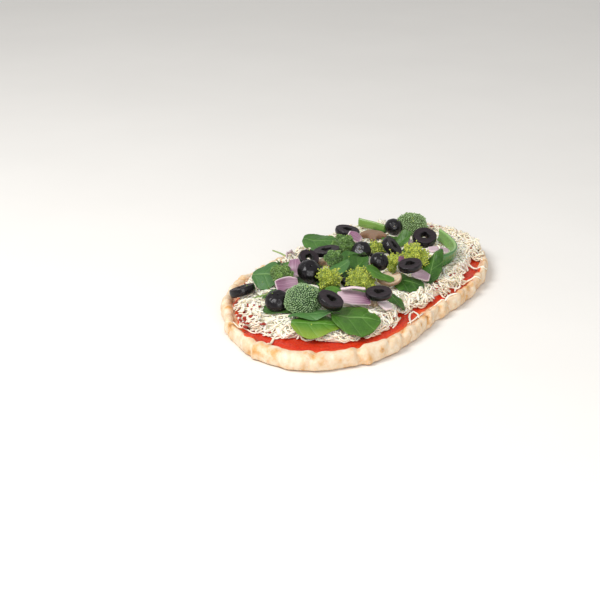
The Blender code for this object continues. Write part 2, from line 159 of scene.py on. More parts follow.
class CheeseSettings(bpy.types.PropertyGroup):
    curd: colour_setting("Cheese", "Grated low-moisture mozzarella", "#FDF8E8")
    # The shaded cheese colour is a darker copy of the cheese, used as painted shade.
    shade: colour_setting("Shaded cheese", "Cheese that took up oil and sauce", "#F3E6C6")
    shreds: IntProperty(name="Shreds", description="Shreds dropped on the bed", default=3200, min=0)
    length: length_setting("Length", "Mean length of a shred", 17)
    width: length_setting("Width", "Width of a shred", 1.9)
    thickness: length_setting("Thickness", "Thickness of a shred", 1.2)


class OliveSettings(bpy.types.PropertyGroup):
    skin: colour_setting("Skin", "Ripened black skin", "#060406")
    flesh: colour_setting("Flesh", "Cut flesh", "#140C0F")
    wrinkle: length_setting("Wrinkles", "Depth of the skin's wrinkles", 0.22)


class BroccoliSettings(bpy.types.PropertyGroup):
    bud: colour_setting("Buds", "Tight green buds", "#5E8C3A")
    # The between-buds colour is painted shade: the dark core that shows in the gaps between the buds.
    deep: colour_setting("Between buds", "Dark green between the buds", "#173415")
    open_bud: colour_setting("Open buds", "Buds that have turned yellow", "#D8DC58")
    stalk: colour_setting("Stalk", "Pale branches and cut stalks", "#B7C57F")
    bud_size: length_setting("Bud size", "Diameter of a bud", 1.0)


class SpinachSettings(bpy.types.PropertyGroup):
    blade: colour_setting("Blade", "Leaf blade", "#234A12")
    bright: colour_setting("Bright blade", "Leaf blade where it is young or lit", "#538428")
    vein: colour_setting("Vein", "Midrib and veins", "#7FA65A")
    thickness: length_setting("Thickness", "Thickness of a leaf", 0.45)


class OnionSettings(bpy.types.PropertyGroup):
    skin: colour_setting("Outer side", "Purple outer side of a layer", "#743D60")
    flesh: colour_setting("Flesh", "Inner side and cut edges", "#EADADB")


class PepperSettings(bpy.types.PropertyGroup):
    skin: colour_setting("Skin", "Waxy green skin", "#2C6A22")
    flesh: colour_setting("Flesh", "Inner wall and cuts", "#6A9A4C")


class MushroomSettings(bpy.types.PropertyGroup):
    flesh: colour_setting("Flesh", "Cut flesh", "#DCC9AC")
    rim: colour_setting("Rim", "Skin of the cap and gills", "#7F5B42")


# --- numpy tools ---


def unit(vectors):
    return vectors / np.maximum(np.linalg.norm(vectors, axis=-1, keepdims=True), 1e-12)


def noise(points, size, seed=0):
    """Smooth value noise from -1 to 1 whose features have this size.

    The corners of a cubic lattice hold random values, hashed from their whole numbers, and a point blends
    the eight round it by smoothstep of its place in the cell."""
    place = points / size + seed * 7.3
    cell = np.floor(place).astype(np.int64)
    share = place - cell
    share = share * share * (3 - 2 * share)
    total = 0.0
    for corner in product((0, 1), repeat=3):
        at = cell + corner
        mixed = at[..., 0] * 73856093 ^ at[..., 1] * 19349663 ^ at[..., 2] * 83492791 ^ seed * 9973
        mixed = (mixed ^ (mixed >> 13)) * 1274126177 & 0xFFFFFFFF
        value = ((mixed ^ (mixed >> 16)) & 0xFFFF) / 32767.5 - 1
        total = total + value * np.prod(np.where(corner, share, 1 - share), axis=-1)
    return total


def flat_noise(xy, size, seed=0):
    """The same noise over places in the plane."""
    return noise(np.concatenate([xy, np.zeros((*xy.shape[:-1], 1))], axis=-1), size, seed)


def smooth_round(values, width):
    """A closed row of values under a Gaussian that is this many samples wide."""
    turns = np.fft.rfftfreq(len(values))
    return np.fft.irfft(np.fft.rfft(values) * np.exp(-2 * (pi * turns * width) ** 2), len(values))


def step(low, high, values):
    """Smoothstep from 0 at low to 1 at high."""
    share = np.clip((values - low) / (high - low), 0, 1)
    return share * share * (3 - 2 * share)


def polar(angles, reach):
    """Places at these angles and distances from the origin."""
    return np.stack(np.broadcast_arrays(np.cos(angles) * reach, np.sin(angles) * reach), axis=-1)


def lifted(xy, z):
    return np.concatenate([xy, np.broadcast_to(z, xy.shape[:-1])[..., None]], axis=-1)


def bunched(count):
    """Shares from 0 to 1 that stand closer together at both ends."""
    return (1 - np.cos(np.linspace(0, pi, count))) / 2


class Solid:
    """Points, faces as arrays of equally long rows, and named values of the points."""

    def __init__(self, points, faces, **values):
        self.points = np.asarray(points, float).reshape(-1, 3)
        self.faces = faces
        count = len(self.points)
        self.values = {key: np.broadcast_to(np.asarray(v, float), (count,)) for key, v in values.items()}

    def placed(self, pose):
        """This solid, given in a pose's own axes, in the frame's."""
        return Solid(self.points @ pose.axes + pose.centre, self.faces, **self.values)

    def volume(self):
        total = 0.0
        for rows in self.faces:
            for k in range(1, rows.shape[1] - 1):
                a, b, c = (self.points[rows[:, i]] for i in (0, k, k + 1))
                total += (a * np.cross(b, c)).sum() / 6
        return total


def joined(solids):
    """One solid of several. A value that one of them lacks is 0 there."""
    keys = sorted({key for solid in solids for key in solid.values})
    starts = np.cumsum([0] + [len(solid.points) for solid in solids])
    faces = [rows + start for solid, start in zip(solids, starts) for rows in solid.faces]
    zero = [np.zeros(len(solid.points)) for solid in solids]
    values = {key: np.concatenate([s.values.get(key, z) for s, z in zip(solids, zero)]) for key in keys}
    return Solid(np.concatenate([solid.points for solid in solids]), faces, **values)


def quads(rows, columns, round_rows=False, round_columns=False):
    """Faces of a grid of points that are numbered row by row."""
    r, c = np.meshgrid(
        np.arange(rows if round_rows else rows - 1),
        np.arange(columns if round_columns else columns - 1),
        indexing="ij",
    )
    below, beside = (r + 1) % rows, (c + 1) % columns
    corners = [r * columns + c, below * columns + c, below * columns + beside, r * columns + beside]
    return np.stack(corners, axis=-1).reshape(-1, 4)


def round_solid(grid, **values):
    """A closed solid of rings, each a row of the grid, with one more point in the middle of its first and
    last ring."""
    rows, columns = grid.shape[:2]
    points = np.concatenate([grid.reshape(-1, 3), grid[:1].mean(1), grid[-1:].mean(1)])
    around = np.arange(columns)
    beside = (around + 1) % columns
    last = (rows - 1) * columns
    start = np.stack([np.full(columns, rows * columns), around, beside], axis=1)
    end = np.stack([np.full(columns, rows * columns + 1), beside + last, around + last], axis=1)
    ended = {}
    for key, value in values.items():
        value = np.broadcast_to(value, (rows, columns))
        ended[key] = np.concatenate([value.ravel(), [value[0].mean()], [value[-1].mean()]])
    return Solid(points, [quads(rows, columns, round_columns=True), np.concatenate([start, end])], **ended)


def ring_solid(grid, **values):
    """A closed ring: the grid's rows follow each other round, and so do its columns."""
    rows, columns = grid.shape[:2]
    values = {key: np.broadcast_to(value, (rows, columns)).ravel() for key, value in values.items()}
    return Solid(grid, [quads(rows, columns, True, True)], **values)


def grid_normals(grid):
    return unit(np.cross(np.gradient(grid, axis=0), np.gradient(grid, axis=1)))


def border_distance(grid):
    """Each grid point's distance to the nearest border, along its row or its column."""
    nearest = []
    for axis in (0, 1):
        steps = np.linalg.norm(np.diff(grid, axis=axis), axis=-1)
        start = np.zeros_like(np.take(steps, [0], axis=axis))
        run = np.cumsum(np.concatenate([start, steps], axis=axis), axis=axis)
        nearest.append(np.minimum(run, np.take(run, [-1], axis=axis) - run))
    return np.minimum(*nearest)


def thick_sheet(middle, thickness, rounding, **values):
    """A closed slab round a middle surface, a grid of rows x columns points.

    Both sides lie half the thickness off along the surface's normal, times a quarter circle that falls to
    nothing at the border over the rounding's width. There the two sides share their points. The value side
    runs from 1 on top to 0 underneath."""
    rows, columns = middle.shape[:2]
    edge = np.clip(border_distance(middle) / rounding, 0, 1)
    offset = grid_normals(middle) * (thickness / 2 * np.sqrt(1 - (1 - edge) ** 2))[..., None]
    number = np.arange(rows * columns).reshape(rows, columns)
    inner = np.zeros((rows, columns), bool)
    inner[1:-1, 1:-1] = True
    under = number.copy()
    under[inner] = rows * columns + np.arange(inner.sum())
    points = np.concatenate([(middle + offset).reshape(-1, 3), (middle - offset)[inner]])
    faces = quads(rows, columns)
    both = np.concatenate([faces, under.ravel()[faces][:, ::-1]])
    side = np.concatenate([np.where(inner, 1.0, 0.5).ravel(), np.zeros(inner.sum())])
    spread = {}
    for key, value in values.items():
        value = np.broadcast_to(value, (rows, columns))
        spread[key] = np.concatenate([value.ravel(), value[inner]])
    border = np.concatenate([(1 - edge).ravel(), (1 - edge)[inner]])
    return Solid(points, [both], side=side, border=border, **spread)


def strands(paths, widths, depths, sides, **values):
    """Closed strands along many paths at once.

    Each path's section is an oval: its width lies level across the path and its depth stands on both.
    Values hold one number for each path."""
    count, steps = paths.shape[:2]
    ahead = unit(np.gradient(paths, axis=1))
    across = unit(np.cross(ahead, (0.0, 0.0, 1.0)))
    up = np.cross(across, ahead)
    turn = (np.arange(sides) + 0.5) * tau / sides
    wide = (across * widths[..., None] / 2)[:, :, None] * np.cos(turn)[:, None]
    deep = (up * depths[..., None] / 2)[:, :, None] * np.sin(turn)[:, None]
    points = paths[:, :, None] + wide + deep
    start = (np.arange(count) * steps * sides)[:, None, None]
    tube = (quads(steps, sides, round_columns=True)[None] + start).reshape(-1, 4)
    caps = np.stack([np.arange(sides), (steps * sides - 1) - np.arange(sides)])
    caps = (caps[None] + start).reshape(-1, sides)
    values = {key: np.repeat(value, steps * sides) for key, value in values.items()}
    return Solid(points, [tube, caps], **values)


def strand(path, radii, sides=8, **values):
    """One round strand along a path."""
    radii = np.broadcast_to(np.asarray(radii, float), (len(path),))[None]
    return strands(np.asarray(path, float)[None], 2 * radii, 2 * radii, sides, **values)


def bezier(a, b, c, count):
    """Points along a quadratic curve from a to c that is pulled toward b."""
    t = np.linspace(0, 1, count)[:, None]
    return (1 - t) ** 2 * np.asarray(a) + 2 * t * (1 - t) * np.asarray(b) + t**2 * np.asarray(c)


def ball(sides=6, rows=3):
    """A unit ball of a few dozen faces, its rings from the bottom up."""
    level = (np.arange(rows) + 1) * pi / (rows + 1)
    turn = np.arange(sides) * tau / sides
    ring = np.stack([np.cos(turn), np.sin(turn)], axis=-1)
    grid = lifted(np.sin(level)[:, None, None] * ring, -np.cos(level)[:, None])
    solid = round_solid(grid)
    solid.points[-2:] = ((0, 0, -1), (0, 0, 1))
    return solid


def scattered(base, centres, sizes, turns=None, **values):
    """One solid of many copies of a base: each has a centre, a size for its three axes and its own axes."""
    count, size = len(centres), len(base.points)
    points = base.points[None] * np.broadcast_to(sizes, (count, 3))[:, None]
    if turns is not None:
        points = np.einsum("nmi,nij->nmj", points, turns)
    points = points + centres[:, None]
    start = (np.arange(count) * size)[:, None, None]
    faces = [(rows[None] + start).reshape(-1, rows.shape[1]) for rows in base.faces]
    return Solid(points, faces, **{key: np.repeat(value, size) for key, value in values.items()})


def random_turns(rng, count):
    """Random axes, each a row of three unit vectors."""
    q = unit(rng.normal(size=(count, 4)))
    w, x, y, z = q.T
    rows = [
        [1 - 2 * (y * y + z * z), 2 * (x * y - z * w), 2 * (x * z + y * w)],
        [2 * (x * y + z * w), 1 - 2 * (x * x + z * z), 2 * (y * z - x * w)],
        [2 * (x * z - y * w), 2 * (y * z + x * w), 1 - 2 * (x * x + y * y)],
    ]
    return np.moveaxis(np.array(rows), -1, 0)


def fibonacci(count, lowest=-1.0):
    """Directions spread evenly over a sphere, or over what of it lies above this height."""
    z = 1 - (np.arange(count) + 0.5) / count * (1 - lowest)
    turn = np.arange(count) * GOLDEN
    level = np.sqrt(1 - z * z)
    return np.stack([level * np.cos(turn), level * np.sin(turn), z], axis=-1)


# --- what the frame says ---


class Pose:
    """A piece's centre and its own axes, as rows."""

    def __init__(self, centre, axes):
        self.centre, self.axes = np.asarray(centre, float), np.asarray(axes, float)


def node_mesh(name):
    """Points and triangles of a CAD node, with its loose triangles welded."""
    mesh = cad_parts[name].data
    points = np.empty(len(mesh.vertices) * 3, np.float32)
    mesh.vertices.foreach_get("co", points)
    mesh.calc_loop_triangles()
    triangles = np.empty(len(mesh.loop_triangles) * 3, np.int32)
    mesh.loop_triangles.foreach_get("vertices", triangles)
    welded, index = np.unique(np.round(points.reshape(-1, 3), 6), axis=0, return_inverse=True)
    return welded.astype(float), index.reshape(-1)[triangles.reshape(-1, 3)]


def facets(points, triangles):
    """Middle, unit normal and area of each triangle."""
    a, b, c = (points[triangles[:, i]] for i in range(3))
    cross = np.cross(b - a, c - a)
    return (a + b + c) / 3, unit(cross), np.linalg.norm(cross, axis=1) / 2


def turned_pose(name):
    """A turned piece's pose, with its axis as Z, out of its largest flat face, and its points in that
    pose."""
    points, triangles = node_mesh(name)
    _, normal, area = facets(points, triangles)
    alike = normal @ normal.T > 0.9995
    best = alike[np.argmax(alike @ area)]
    axis = unit((normal[best] * area[best][:, None]).sum(0))
    side = unit(np.cross(axis, (0.31, 0.95, 0.05)))
    centre = points.mean(0)
    pose = Pose(centre, [side, np.cross(axis, side), axis])
    return pose, (points - centre) @ pose.axes.T


def slab_pose(name):
    """A slab's pose: X along it, Z out of its broad side, bulging upwards. Also its points in that pose,
    and the coefficients of its middle surface, z as a polynomial of x and y, found by least squares."""
    points, triangles = node_mesh(name)
    middle, normal, area = facets(points, triangles)
    facing = np.linalg.eigh((normal * area[:, None]).T @ normal)[1][:, -1]
    centre = (middle * area[:, None]).sum(0) / area.sum()
    spread = (middle - centre) @ (np.eye(3) - np.outer(facing, facing))
    along = np.linalg.eigh((spread * area[:, None]).T @ spread)[1][:, -1]
    if facing[2] < 0:
        facing = -facing
    axes = np.array([along, np.cross(facing, along), facing])
    own = (points - centre) @ axes.T
    bend = fitted(own)
    if bend[3] + bend[5] > 0:
        axes[1:] *= -1
        own = (points - centre) @ axes.T
        bend = fitted(own)
    return Pose(centre, axes), own, bend


def terms(x, y):
    """The terms of the middle surface's polynomial, one to a column."""
    return np.stack([np.ones_like(x), x, y, x * x, x * y, y * y, x**4], axis=-1)


def fitted(own):
    """Coefficients of the middle surface, found with its points scaled to about 1 and then scaled back."""
    scale = np.abs(own).max()
    found = np.linalg.lstsq(terms(own[:, 0] / scale, own[:, 1] / scale), own[:, 2] / scale, rcond=1e-4)[0]
    return found * scale ** np.array([1.0, 0, 0, -1, -1, -1, -3])


class ThinPlate:
    """The smoothest surface near scattered heights: a plane plus r² log r of the distance to each point."""

    def __init__(self, points, slack=6.0):
        self.sites = points[:, :2] / MM
        count = len(points)
        system = np.zeros((count + 3, count + 3))
        system[:count, :count] = self.kernel(self.sites) + slack * np.eye(count)
        system[:count, count:] = self.plane(self.sites)
        system[count:, :count] = system[:count, count:].T
        self.weights = np.linalg.solve(system, np.append(points[:, 2] / MM, np.zeros(3)))

    def kernel(self, xy):
        gap = np.linalg.norm(xy[:, None] - self.sites[None], axis=-1)
        return gap**2 * np.log(np.maximum(gap, 1e-9))

    def plane(self, xy):
        return np.column_stack([np.ones(len(xy)), xy])

    def at(self, xy):
        flat = xy.reshape(-1, 2) / MM
        heights = np.hstack([self.kernel(flat), self.plane(flat)]) @ self.weights
        return heights.reshape(xy.shape[:-1]) * MM


class HeightMap:
    """Heights on a square grid over the pizza, read between cells by bilinear interpolation."""

    def __init__(self, fill=0.0):
        low, high = (np.array(corner[:2]) for corner in CAD_BOX)
        self.low = low - 8 * MM
        self.count = np.ceil((high - low + 16 * MM) / MAP_CELL).astype(int)
        self.values = np.full(self.count, float(fill))

    def take(self, points, faces, underside=False):
        """Takes in a mesh: its top where that is higher, or its underside where that is lower."""
        tree = BVHTree.FromPolygons(points.tolist(), faces)
        first = np.maximum((points.min(0)[:2] - self.low) / MAP_CELL, 0).astype(int)
        last = np.minimum((points.max(0)[:2] - self.low) / MAP_CELL + 1, self.count).astype(int)
        start, way = (-FAR, Vector((0, 0, 1))) if underside else (FAR, Vector((0, 0, -1)))
        for i, j in product(range(first[0], last[0]), range(first[1], last[1])):
            x, y = self.low + (np.array((i, j)) + 0.5) * MAP_CELL
            hit = tree.ray_cast(Vector((x, y, start)), way)[0]
            if hit is not None:
                keep = min if underside else max
                self.values[i, j] = keep(self.values[i, j], hit.z)
        return self

    def take_solid(self, solid):
        return self.take(solid.points, [row for rows in solid.faces for row in rows.tolist()])

    def at(self, xy):
        place = (xy - self.low) / MAP_CELL - 0.5
        cell = np.clip(np.floor(place).astype(int), 0, self.count - 2)
        share = np.clip(place - cell, 0, 1)
        i, j = cell[..., 0], cell[..., 1]
        x, y = share[..., 0], share[..., 1]
        v = self.values
        near = v[i, j] * (1 - y) + v[i, j + 1] * y
        far = v[i + 1, j] * (1 - y) + v[i + 1, j + 1] * y
        return near * (1 - x) + far * x

    def cells(self, xy):
        cell = np.clip(((xy - self.low) / MAP_CELL).astype(int), 0, self.count - 1)
        return cell[..., 0], cell[..., 1]


def map_of(*names):
    made = HeightMap()
    for name in names:
        points, triangles = node_mesh(name)
        made.take(points, triangles.tolist())
    return made


def edge_reach(name, angles, height):
    """How far a node reaches at this height from the origin, at each angle."""
    points, triangles = node_mesh(name)
    tree = BVHTree.FromPolygons(points.tolist(), triangles.tolist())
    reach = []
    for angle in angles:
        out = Vector((cos(angle), sin(angle), 0))
        hit = tree.ray_cast(out * FAR + Vector((0, 0, height)), -out)[0]
        reach.append(hit.xy.length)
    return np.array(reach)


# --- pieces and materials ---


def add_piece(name, solid, material, nodes=()):
    """A finished piece: its mesh, its points' values, its body, and the nodes it stands for."""
    turned = -1 if solid.volume() < 0 else 1
    faces = [row for rows in solid.faces for row in rows[:, ::turned].tolist()]
    mesh = bpy.data.meshes.new(name)
    mesh.from_pydata(solid.points.tolist(), [], faces)
    for key, value in solid.values.items():
        mesh.attributes.new(key, "FLOAT", "POINT").data.foreach_set("value", value.astype(np.float32))
    mesh.shade_smooth()
    mesh.materials.append(material)
    piece = bpy.data.objects.new(name, mesh)
    bpy.context.scene.collection.objects.link(piece)
    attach(piece, "root")
    if nodes:
        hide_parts(*nodes)
    return piece


def new_material(name, roughness, ior, **settings):
    """A material with its Principled shader, whose even values stand on the shader's own sockets."""
    made = bpy.data.materials.get(name)
    if made:
        bpy.data.materials.remove(made)
    made = bpy.data.materials.new(name)
    made.use_nodes = True
    shader = made.node_tree.nodes["Principled BSDF"]
    values = {"Roughness": roughness, "IOR": ior, **settings}
    for key, value in values.items():
        shader.inputs[key.replace("_", " ")].default_value = value
    return made, made.node_tree, shader


def add_node(tree, kind, inputs=None, stops=(), **settings):
    """Adds a node: settings are its properties, inputs its values or the sockets linked to them, and stops
    the places and colours of a ramp."""
    made = tree.nodes.new("ShaderNode" + kind)
    for key, value in settings.items():
        setattr(made, key, value)
    for key, value in (inputs or {}).items():
        if isinstance(value, bpy.types.NodeSocket):
            tree.links.new(value, made.inputs[key])
        else:
            made.inputs[key].default_value = value
    while stops and len(made.color_ramp.elements) < len(stops):
        made.color_ramp.elements.new(0.5)
    for element, (place, colour) in zip(made.color_ramp.elements if stops else (), stops):
        element.position, element.color = place, colour
    return made


def layered(tree, base, *layers):
    """The socket of a base colour under layers, each a colour and the share of it that shows. Any may be a
    socket."""
    for colour, share in layers:
        base = add_node(tree, "Mix", {0: share, 6: base, 7: colour}, data_type="RGBA").outputs[2]
    return base


def grain(tree, size, detail=3.0, rough=0.55):
    """The socket of a noise whose features have this size in metres, on Object coordinates."""
    place = add_node(tree, "TexCoord").outputs["Object"]
    inputs = {"Vector": place, "Scale": 1 / size, "Detail": detail, "Roughness": rough}
    return add_node(tree, "TexNoise", inputs).outputs["Fac"]


def held(tree, name, low=0.0, high=1.0, to_low=0.0, to_high=1.0):
    """The socket of a point value of the mesh, stretched from one range to another."""
    value = add_node(tree, "Attribute", attribute_name=name).outputs["Fac"]
    inputs = {"Value": value, 1: low, 2: high, 3: to_low, 4: to_high}
    return add_node(tree, "MapRange", inputs).outputs[0]


def bumped(tree, shader, height, distance, strength=1.0, before=None):
    """Bump on the shader from a height socket whose full range is this distance in metres."""
    inputs = {"Height": height, "Distance": distance, "Strength": strength}
    if before:
        inputs["Normal"] = before.outputs[0]
    bump = add_node(tree, "Bump", inputs)
    tree.links.new(bump.outputs[0], shader.inputs["Normal"])
    return bump


# --- crust ---


def crust_material(look):
    """Baked lean dough: matt and pale, gold on high places, dusted with flour, with tiny pores. Its toast
    also holds painted shade, darker in the folds' grooves and along the foot.
    """
    made, tree, shader = new_material("baked_flatbread_dough", 0.72, 1.45, Subsurface_Weight=0.12)
    shader.inputs["Subsurface Radius"].default_value = (0.6, 0.35, 0.2)
    shader.inputs["Subsurface Scale"].default_value = 2 * MM
    spread = {"Value": grain(tree, 3 * MM), 1: 0.3, 2: 0.7, 3: -0.16, 4: 0.16}
    mottle = add_node(tree, "MapRange", spread).outputs[0]
    toast = add_node(tree, "Math", {0: held(tree, "toast"), 1: mottle}, operation="ADD").outputs[0]
    stops = (
        (0.0, look.dough),
        (0.32, [0.55 * a + 0.45 * b for a, b in zip(look.dough, look.golden)]),
        (0.6, look.golden),
        (1.0, look.toasted),
    )
    colour = add_node(tree, "ValToRGB", {0: toast}, stops=stops).outputs[0]
    flour = {"Value": grain(tree, 7 * MM, 6.0, 0.7), 1: 0.5, 2: 0.68, 4: 0.55}
    dusted = linear("#F8F0DF"), add_node(tree, "MapRange", flour).outputs[0]
    stained = linear("#DD8A4A"), held(tree, "stain", 0, 1, 0, 0.85)
    tree.links.new(layered(tree, colour, dusted, stained), shader.inputs["Base Color"])
    soft = bumped(tree, shader, grain(tree, 2.2 * MM, 4.0), 0.35 * MM, 0.8)
    bumped(tree, shader, grain(tree, 0.5 * MM, 2.0), 0.08 * MM, 0.8, soft)
    return made


# Folds pinched into the rim: angle in degrees, lean, and depth as a share of the deepest.
FOLDS = (
    (180, 0.3, 0.8), (190, -0.2, 0.35), (199, 0.4, 0.5), (213, -0.3, 0.9), (222, 0.5, 0.5),
    (230, 0.2, 0.9), (240, -0.4, 0.6), (249, 0.3, 1.0), (263, 0.5, 0.7), (276, -0.3, 1.0),
    (286, 0.2, 0.5), (297, 0.5, 0.9), (306, -0.2, 0.6), (314, 0.3, 0.9), (326, 0.2, 0.5),
    (339, -0.4, 0.8), (355, 0.2, 0.6), (11, 0.4, 0.8), (26, -0.3, 0.5), (43, 0.2, 0.9), (57, 0.5, 0.6),
    (70, -0.3, 1.0), (84, 0.1, 0.6), (97, 0.4, 0.9), (109, -0.5, 0.5), (121, 0.2, 0.9), (134, -0.2, 0.7),
    (148, 0.3, 0.8), (164, -0.3, 0.6),
)  # fmt: skip


# Where sauce soaked into the rim: angle and spread in degrees.
SOAKED = ((144, 7), (165, 14), (300, 22), (252, 14))


class CrustShape:
    """The rim's section at each angle, measured on the crust's node."""

    CREST = 0.42  # the crest's share of the rim's width, from outside, and the waist's share of its height

    def __init__(self, count=960):
        self.angles = np.arange(count) * tau / count
        heights = map_of("crust")
        reach = edge_reach("crust", self.angles, CRUST_LEVEL)
        inset = np.arange(1, 110) * 0.25 * MM
        top = heights.at(polar(self.angles[:, None], reach[:, None] - inset))
        floor = np.median(top[:, -1])
        past = np.arange(len(inset)) > top.argmax(1)[:, None]
        foot = inset[np.argmax(past & (top < floor + 0.5 * MM), axis=1)]
        self.floor = floor
        self.reach = smooth_round(reach, 3)
        self.height = smooth_round(top.max(1), 6)
        self.width = smooth_round(foot, 9) - 0.6 * MM

    def folds(self, level):
        """How deep in a fold each point of rows x angles lies, and how near a fold's shoulder, at these
        heights."""
        depth, shoulder = np.zeros(level.shape), np.zeros(level.shape)
        for at, lean, strength in FOLDS:
            gap = np.abs(np.radians(turned_by(self.angles, at)) * self.reach - lean * (level - 5 * MM))
            depth = np.maximum(depth, strength * np.exp(-((gap / (1.9 * MM)) ** 2)))
            shoulder = np.maximum(shoulder, strength * np.exp(-(((gap - 5.2 * MM) / (2.6 * MM)) ** 2)))
        return depth, shoulder

    def edge(self, angles):
        turns = np.append(self.angles, tau)
        return np.interp(angles % tau, turns, np.append(self.reach, self.reach[0]))

    def foot(self, angles):
        turns = np.append(self.angles, tau)
        return np.interp(angles % tau, turns, np.append(self.width, self.width[0]))


def turned_by(angles, at):
    """Degrees from a direction, between -180 and 180."""
    return (np.degrees(angles) - at + 180) % 360 - 180


def crust_solid(look, shape):
    """The crust: its section is an egg shape whose crest stands nearer the outside, carried round the
    outline.

    Inset = crest share x width + cosine x width, and height = waist + sine x (height - waist), from
    underneath over the top to the floor. Lumps, creases at the finger marks and round blisters then move it
    along its own normal."""
    section = np.radians(np.linspace(-90, -336, 58))[:, None]
    across, up = np.cos(section), np.sin(section)
    across, up = np.sign(across) * np.abs(across) ** 0.86, np.sign(up) * np.abs(up) ** 0.9
    width, waist = shape.width, shape.CREST * shape.height
    crest = shape.CREST * width
    inset = crest + across * np.where(across < 0, crest, width - crest)
    level = waist + up * np.where(up < 0, waist, shape.height - waist)
    rim = lifted(polar(shape.angles, shape.reach - inset), level)
    foot_reach, floor_reach = shape.reach - crest, shape.reach - width - 2 * MM
    under = [lifted(polar(shape.angles, foot_reach * share), 0.0) for share in (0.08, 0.3, 0.55, 0.78, 0.92)]
    inner = [lifted(polar(shape.angles, floor_reach * share), shape.floor) for share in (1, 0.8, 0.5, 0.1)]
    grid = np.concatenate([np.array(under), rim, np.array(inner)])
    normal = -grid_normals(np.concatenate([grid[:, -1:], grid, grid[:, :1]], axis=1))[:, 1:-1]
    rows = np.arange(len(grid))[:, None]
    on_rim = step(len(under) + 4, len(under) + 14, rows) * (1 - step(len(grid) - 9, len(grid) - 4, rows))

    lump = noise(grid, 13 * MM, 1) + 0.45 * noise(grid, 6 * MM, 2)
    stretched = grid * (1.0, 1.0, 0.35)
    fine = noise(stretched, 2.2 * MM, 3) * 0.5 + noise(grid, 1.2 * MM, 4) * 0.3
    crease, shoulder = shape.folds(grid[..., 2])
    crease = crease * (0.75 + 0.35 * noise(grid, 5 * MM, 5)) * step(0, 4 * MM, grid[..., 2])
    move = look.lump * lump * (1 - 0.6 * crease) - look.crease * crease + 0.75 * MM * shoulder
    move = move + 0.16 * MM * fine * (0.6 + crease)

    rng = np.random.default_rng(11)
    spot_rows = rng.integers(len(under) + 12, len(grid) - 12, look.blisters)
    spots = grid[spot_rows, rng.integers(0, len(shape.angles), look.blisters)]
    radius = rng.uniform(1.2, 4.2, look.blisters) * MM
    proud = rng.uniform(0.1, 0.24, look.blisters)
    burnt = rng.uniform(0.05, 1.0, look.blisters) ** 2.2
    toast = np.zeros(grid.shape[:2])
    for spot, size, rise, burn in zip(spots, radius, proud, burnt):
        gap = np.linalg.norm(grid - spot, axis=-1) / size
        bump = np.exp(-(gap**2) * 1.6)
        move = move + rise * size * bump
        toast = np.maximum(toast, burn * np.exp(-(gap**2) * 1.1))
    grid = grid + normal * (move * on_rim)[..., None]
    grid[..., 2] = np.maximum(grid[..., 2], 0.0)

    cloud = 0.5 + 0.5 * noise(grid, 22 * MM, 6)
    patch = step(0.35, 0.95, 0.5 + 0.5 * noise(grid, 9 * MM, 7) * cloud + 0.25 * noise(grid, 4 * MM, 8))
    # Toast along the foot, where the rim meets the floor, is a painted shadow line coloured as toasted dough.
    foot = np.exp(-((grid[..., 2] / (1.1 * MM)) ** 2)) * (rows > len(under))
    near_end = step(cos(radians(30)), 1.0, -np.cos(shape.angles - radians(4)))
    # The crease term darkens the folds' grooves with painted shade; the shoulders' gold is the bake's own
    # colour.
    baked = 0.06 + 0.36 * patch + 0.32 * cloud * shoulder + 0.42 * crease + 0.25 * near_end * patch
    under_spots = step(0.1, 0.8, noise(grid, 12 * MM, 9)) * (rows < len(under) + 3)
    toast = np.clip(baked + 0.75 * toast + 0.55 * foot + 0.5 * under_spots, 0, 1)
    inside = inset_of(grid, shape) - shape.foot(np.arctan2(grid[..., 1], grid[..., 0]))
    seep = 1.0 * MM + 1.6 * MM * flat_noise(grid[..., :2], 7 * MM, 10)
    stain = np.exp(-((np.maximum(0, -inside - seep) / (1.9 * MM)) ** 2)) * (rows > len(under) + 8)
    soaked = sum(np.exp(-((turned_by(shape.angles, at) / wide) ** 2)) for at, wide in SOAKED)
    stain = stain * np.clip(0.28 + soaked, 0, 1)
    return round_solid(grid, toast=toast, stain=stain * (0.55 + 0.45 * noise(grid, 3 * MM, 12)))


def inset_of(grid, shape):
    """How far inside the outline each point lies."""
    return shape.edge(np.arctan2(grid[..., 1], grid[..., 0])) - np.hypot(grid[..., 0], grid[..., 1])


# --- sauce ---


def sauce_material(look):
    """Cooked tomato sauce, spread thin: wet, deep red where it is thick, orange where it is a film, with
    pulp."""
    made, tree, shader = new_material("cooked_tomato_sauce", 0.34, 1.38, Subsurface_Weight=0.15)
    shader.inputs["Subsurface Radius"].default_value = (1.0, 0.15, 0.05)
    shader.inputs["Subsurface Scale"].default_value = 1.2 * MM
    pulp = add_node(tree, "MapRange", {"Value": grain(tree, 1.6 * MM, 4.0), 1: 0.38, 2: 0.66}).outputs[0]
    bright = {"Value": grain(tree, 4 * MM, 2.0), 1: 0.52, 2: 0.7, 4: 0.5}
    bright = add_node(tree, "MapRange", bright).outputs[0]
    layers = (linear("#B8250F"), pulp), (linear("#DB4522"), bright), (look.thin, held(tree, "film"))
    tree.links.new(layered(tree, look.tomato, *layers), shader.inputs["Base Color"])
    bumped(tree, shader, grain(tree, 1.3 * MM, 5.0), 0.35 * MM, 0.9)
    return made


# Smears of sauce on the rim: angle and spread in degrees, and reach in millimetres.
SMEARS = ((316, 7, 4.2), (12, 9, 3.0), (338, 8, 3.4), (177, 5, 9.5), (120, 12, 2.0), (147, 5, 3.5))


def sauce_edge(look, angles):
    """Reach of the sauce's edge: the node's own, wandering, with smears up the rim."""
    own = smooth_round(edge_reach("sauce", angles, SAUCE_LEVEL), 4)
    place = polar(angles, own)
    wander = flat_noise(place, 9 * MM, 21) + 0.5 * flat_noise(place, 3.5 * MM, 22)
    smear = sum(
        reach * MM * np.exp(-((turned_by(angles, at) / spread) ** 2)) for at, spread, reach in SMEARS
    )
    return own + look.wander * wander + smear


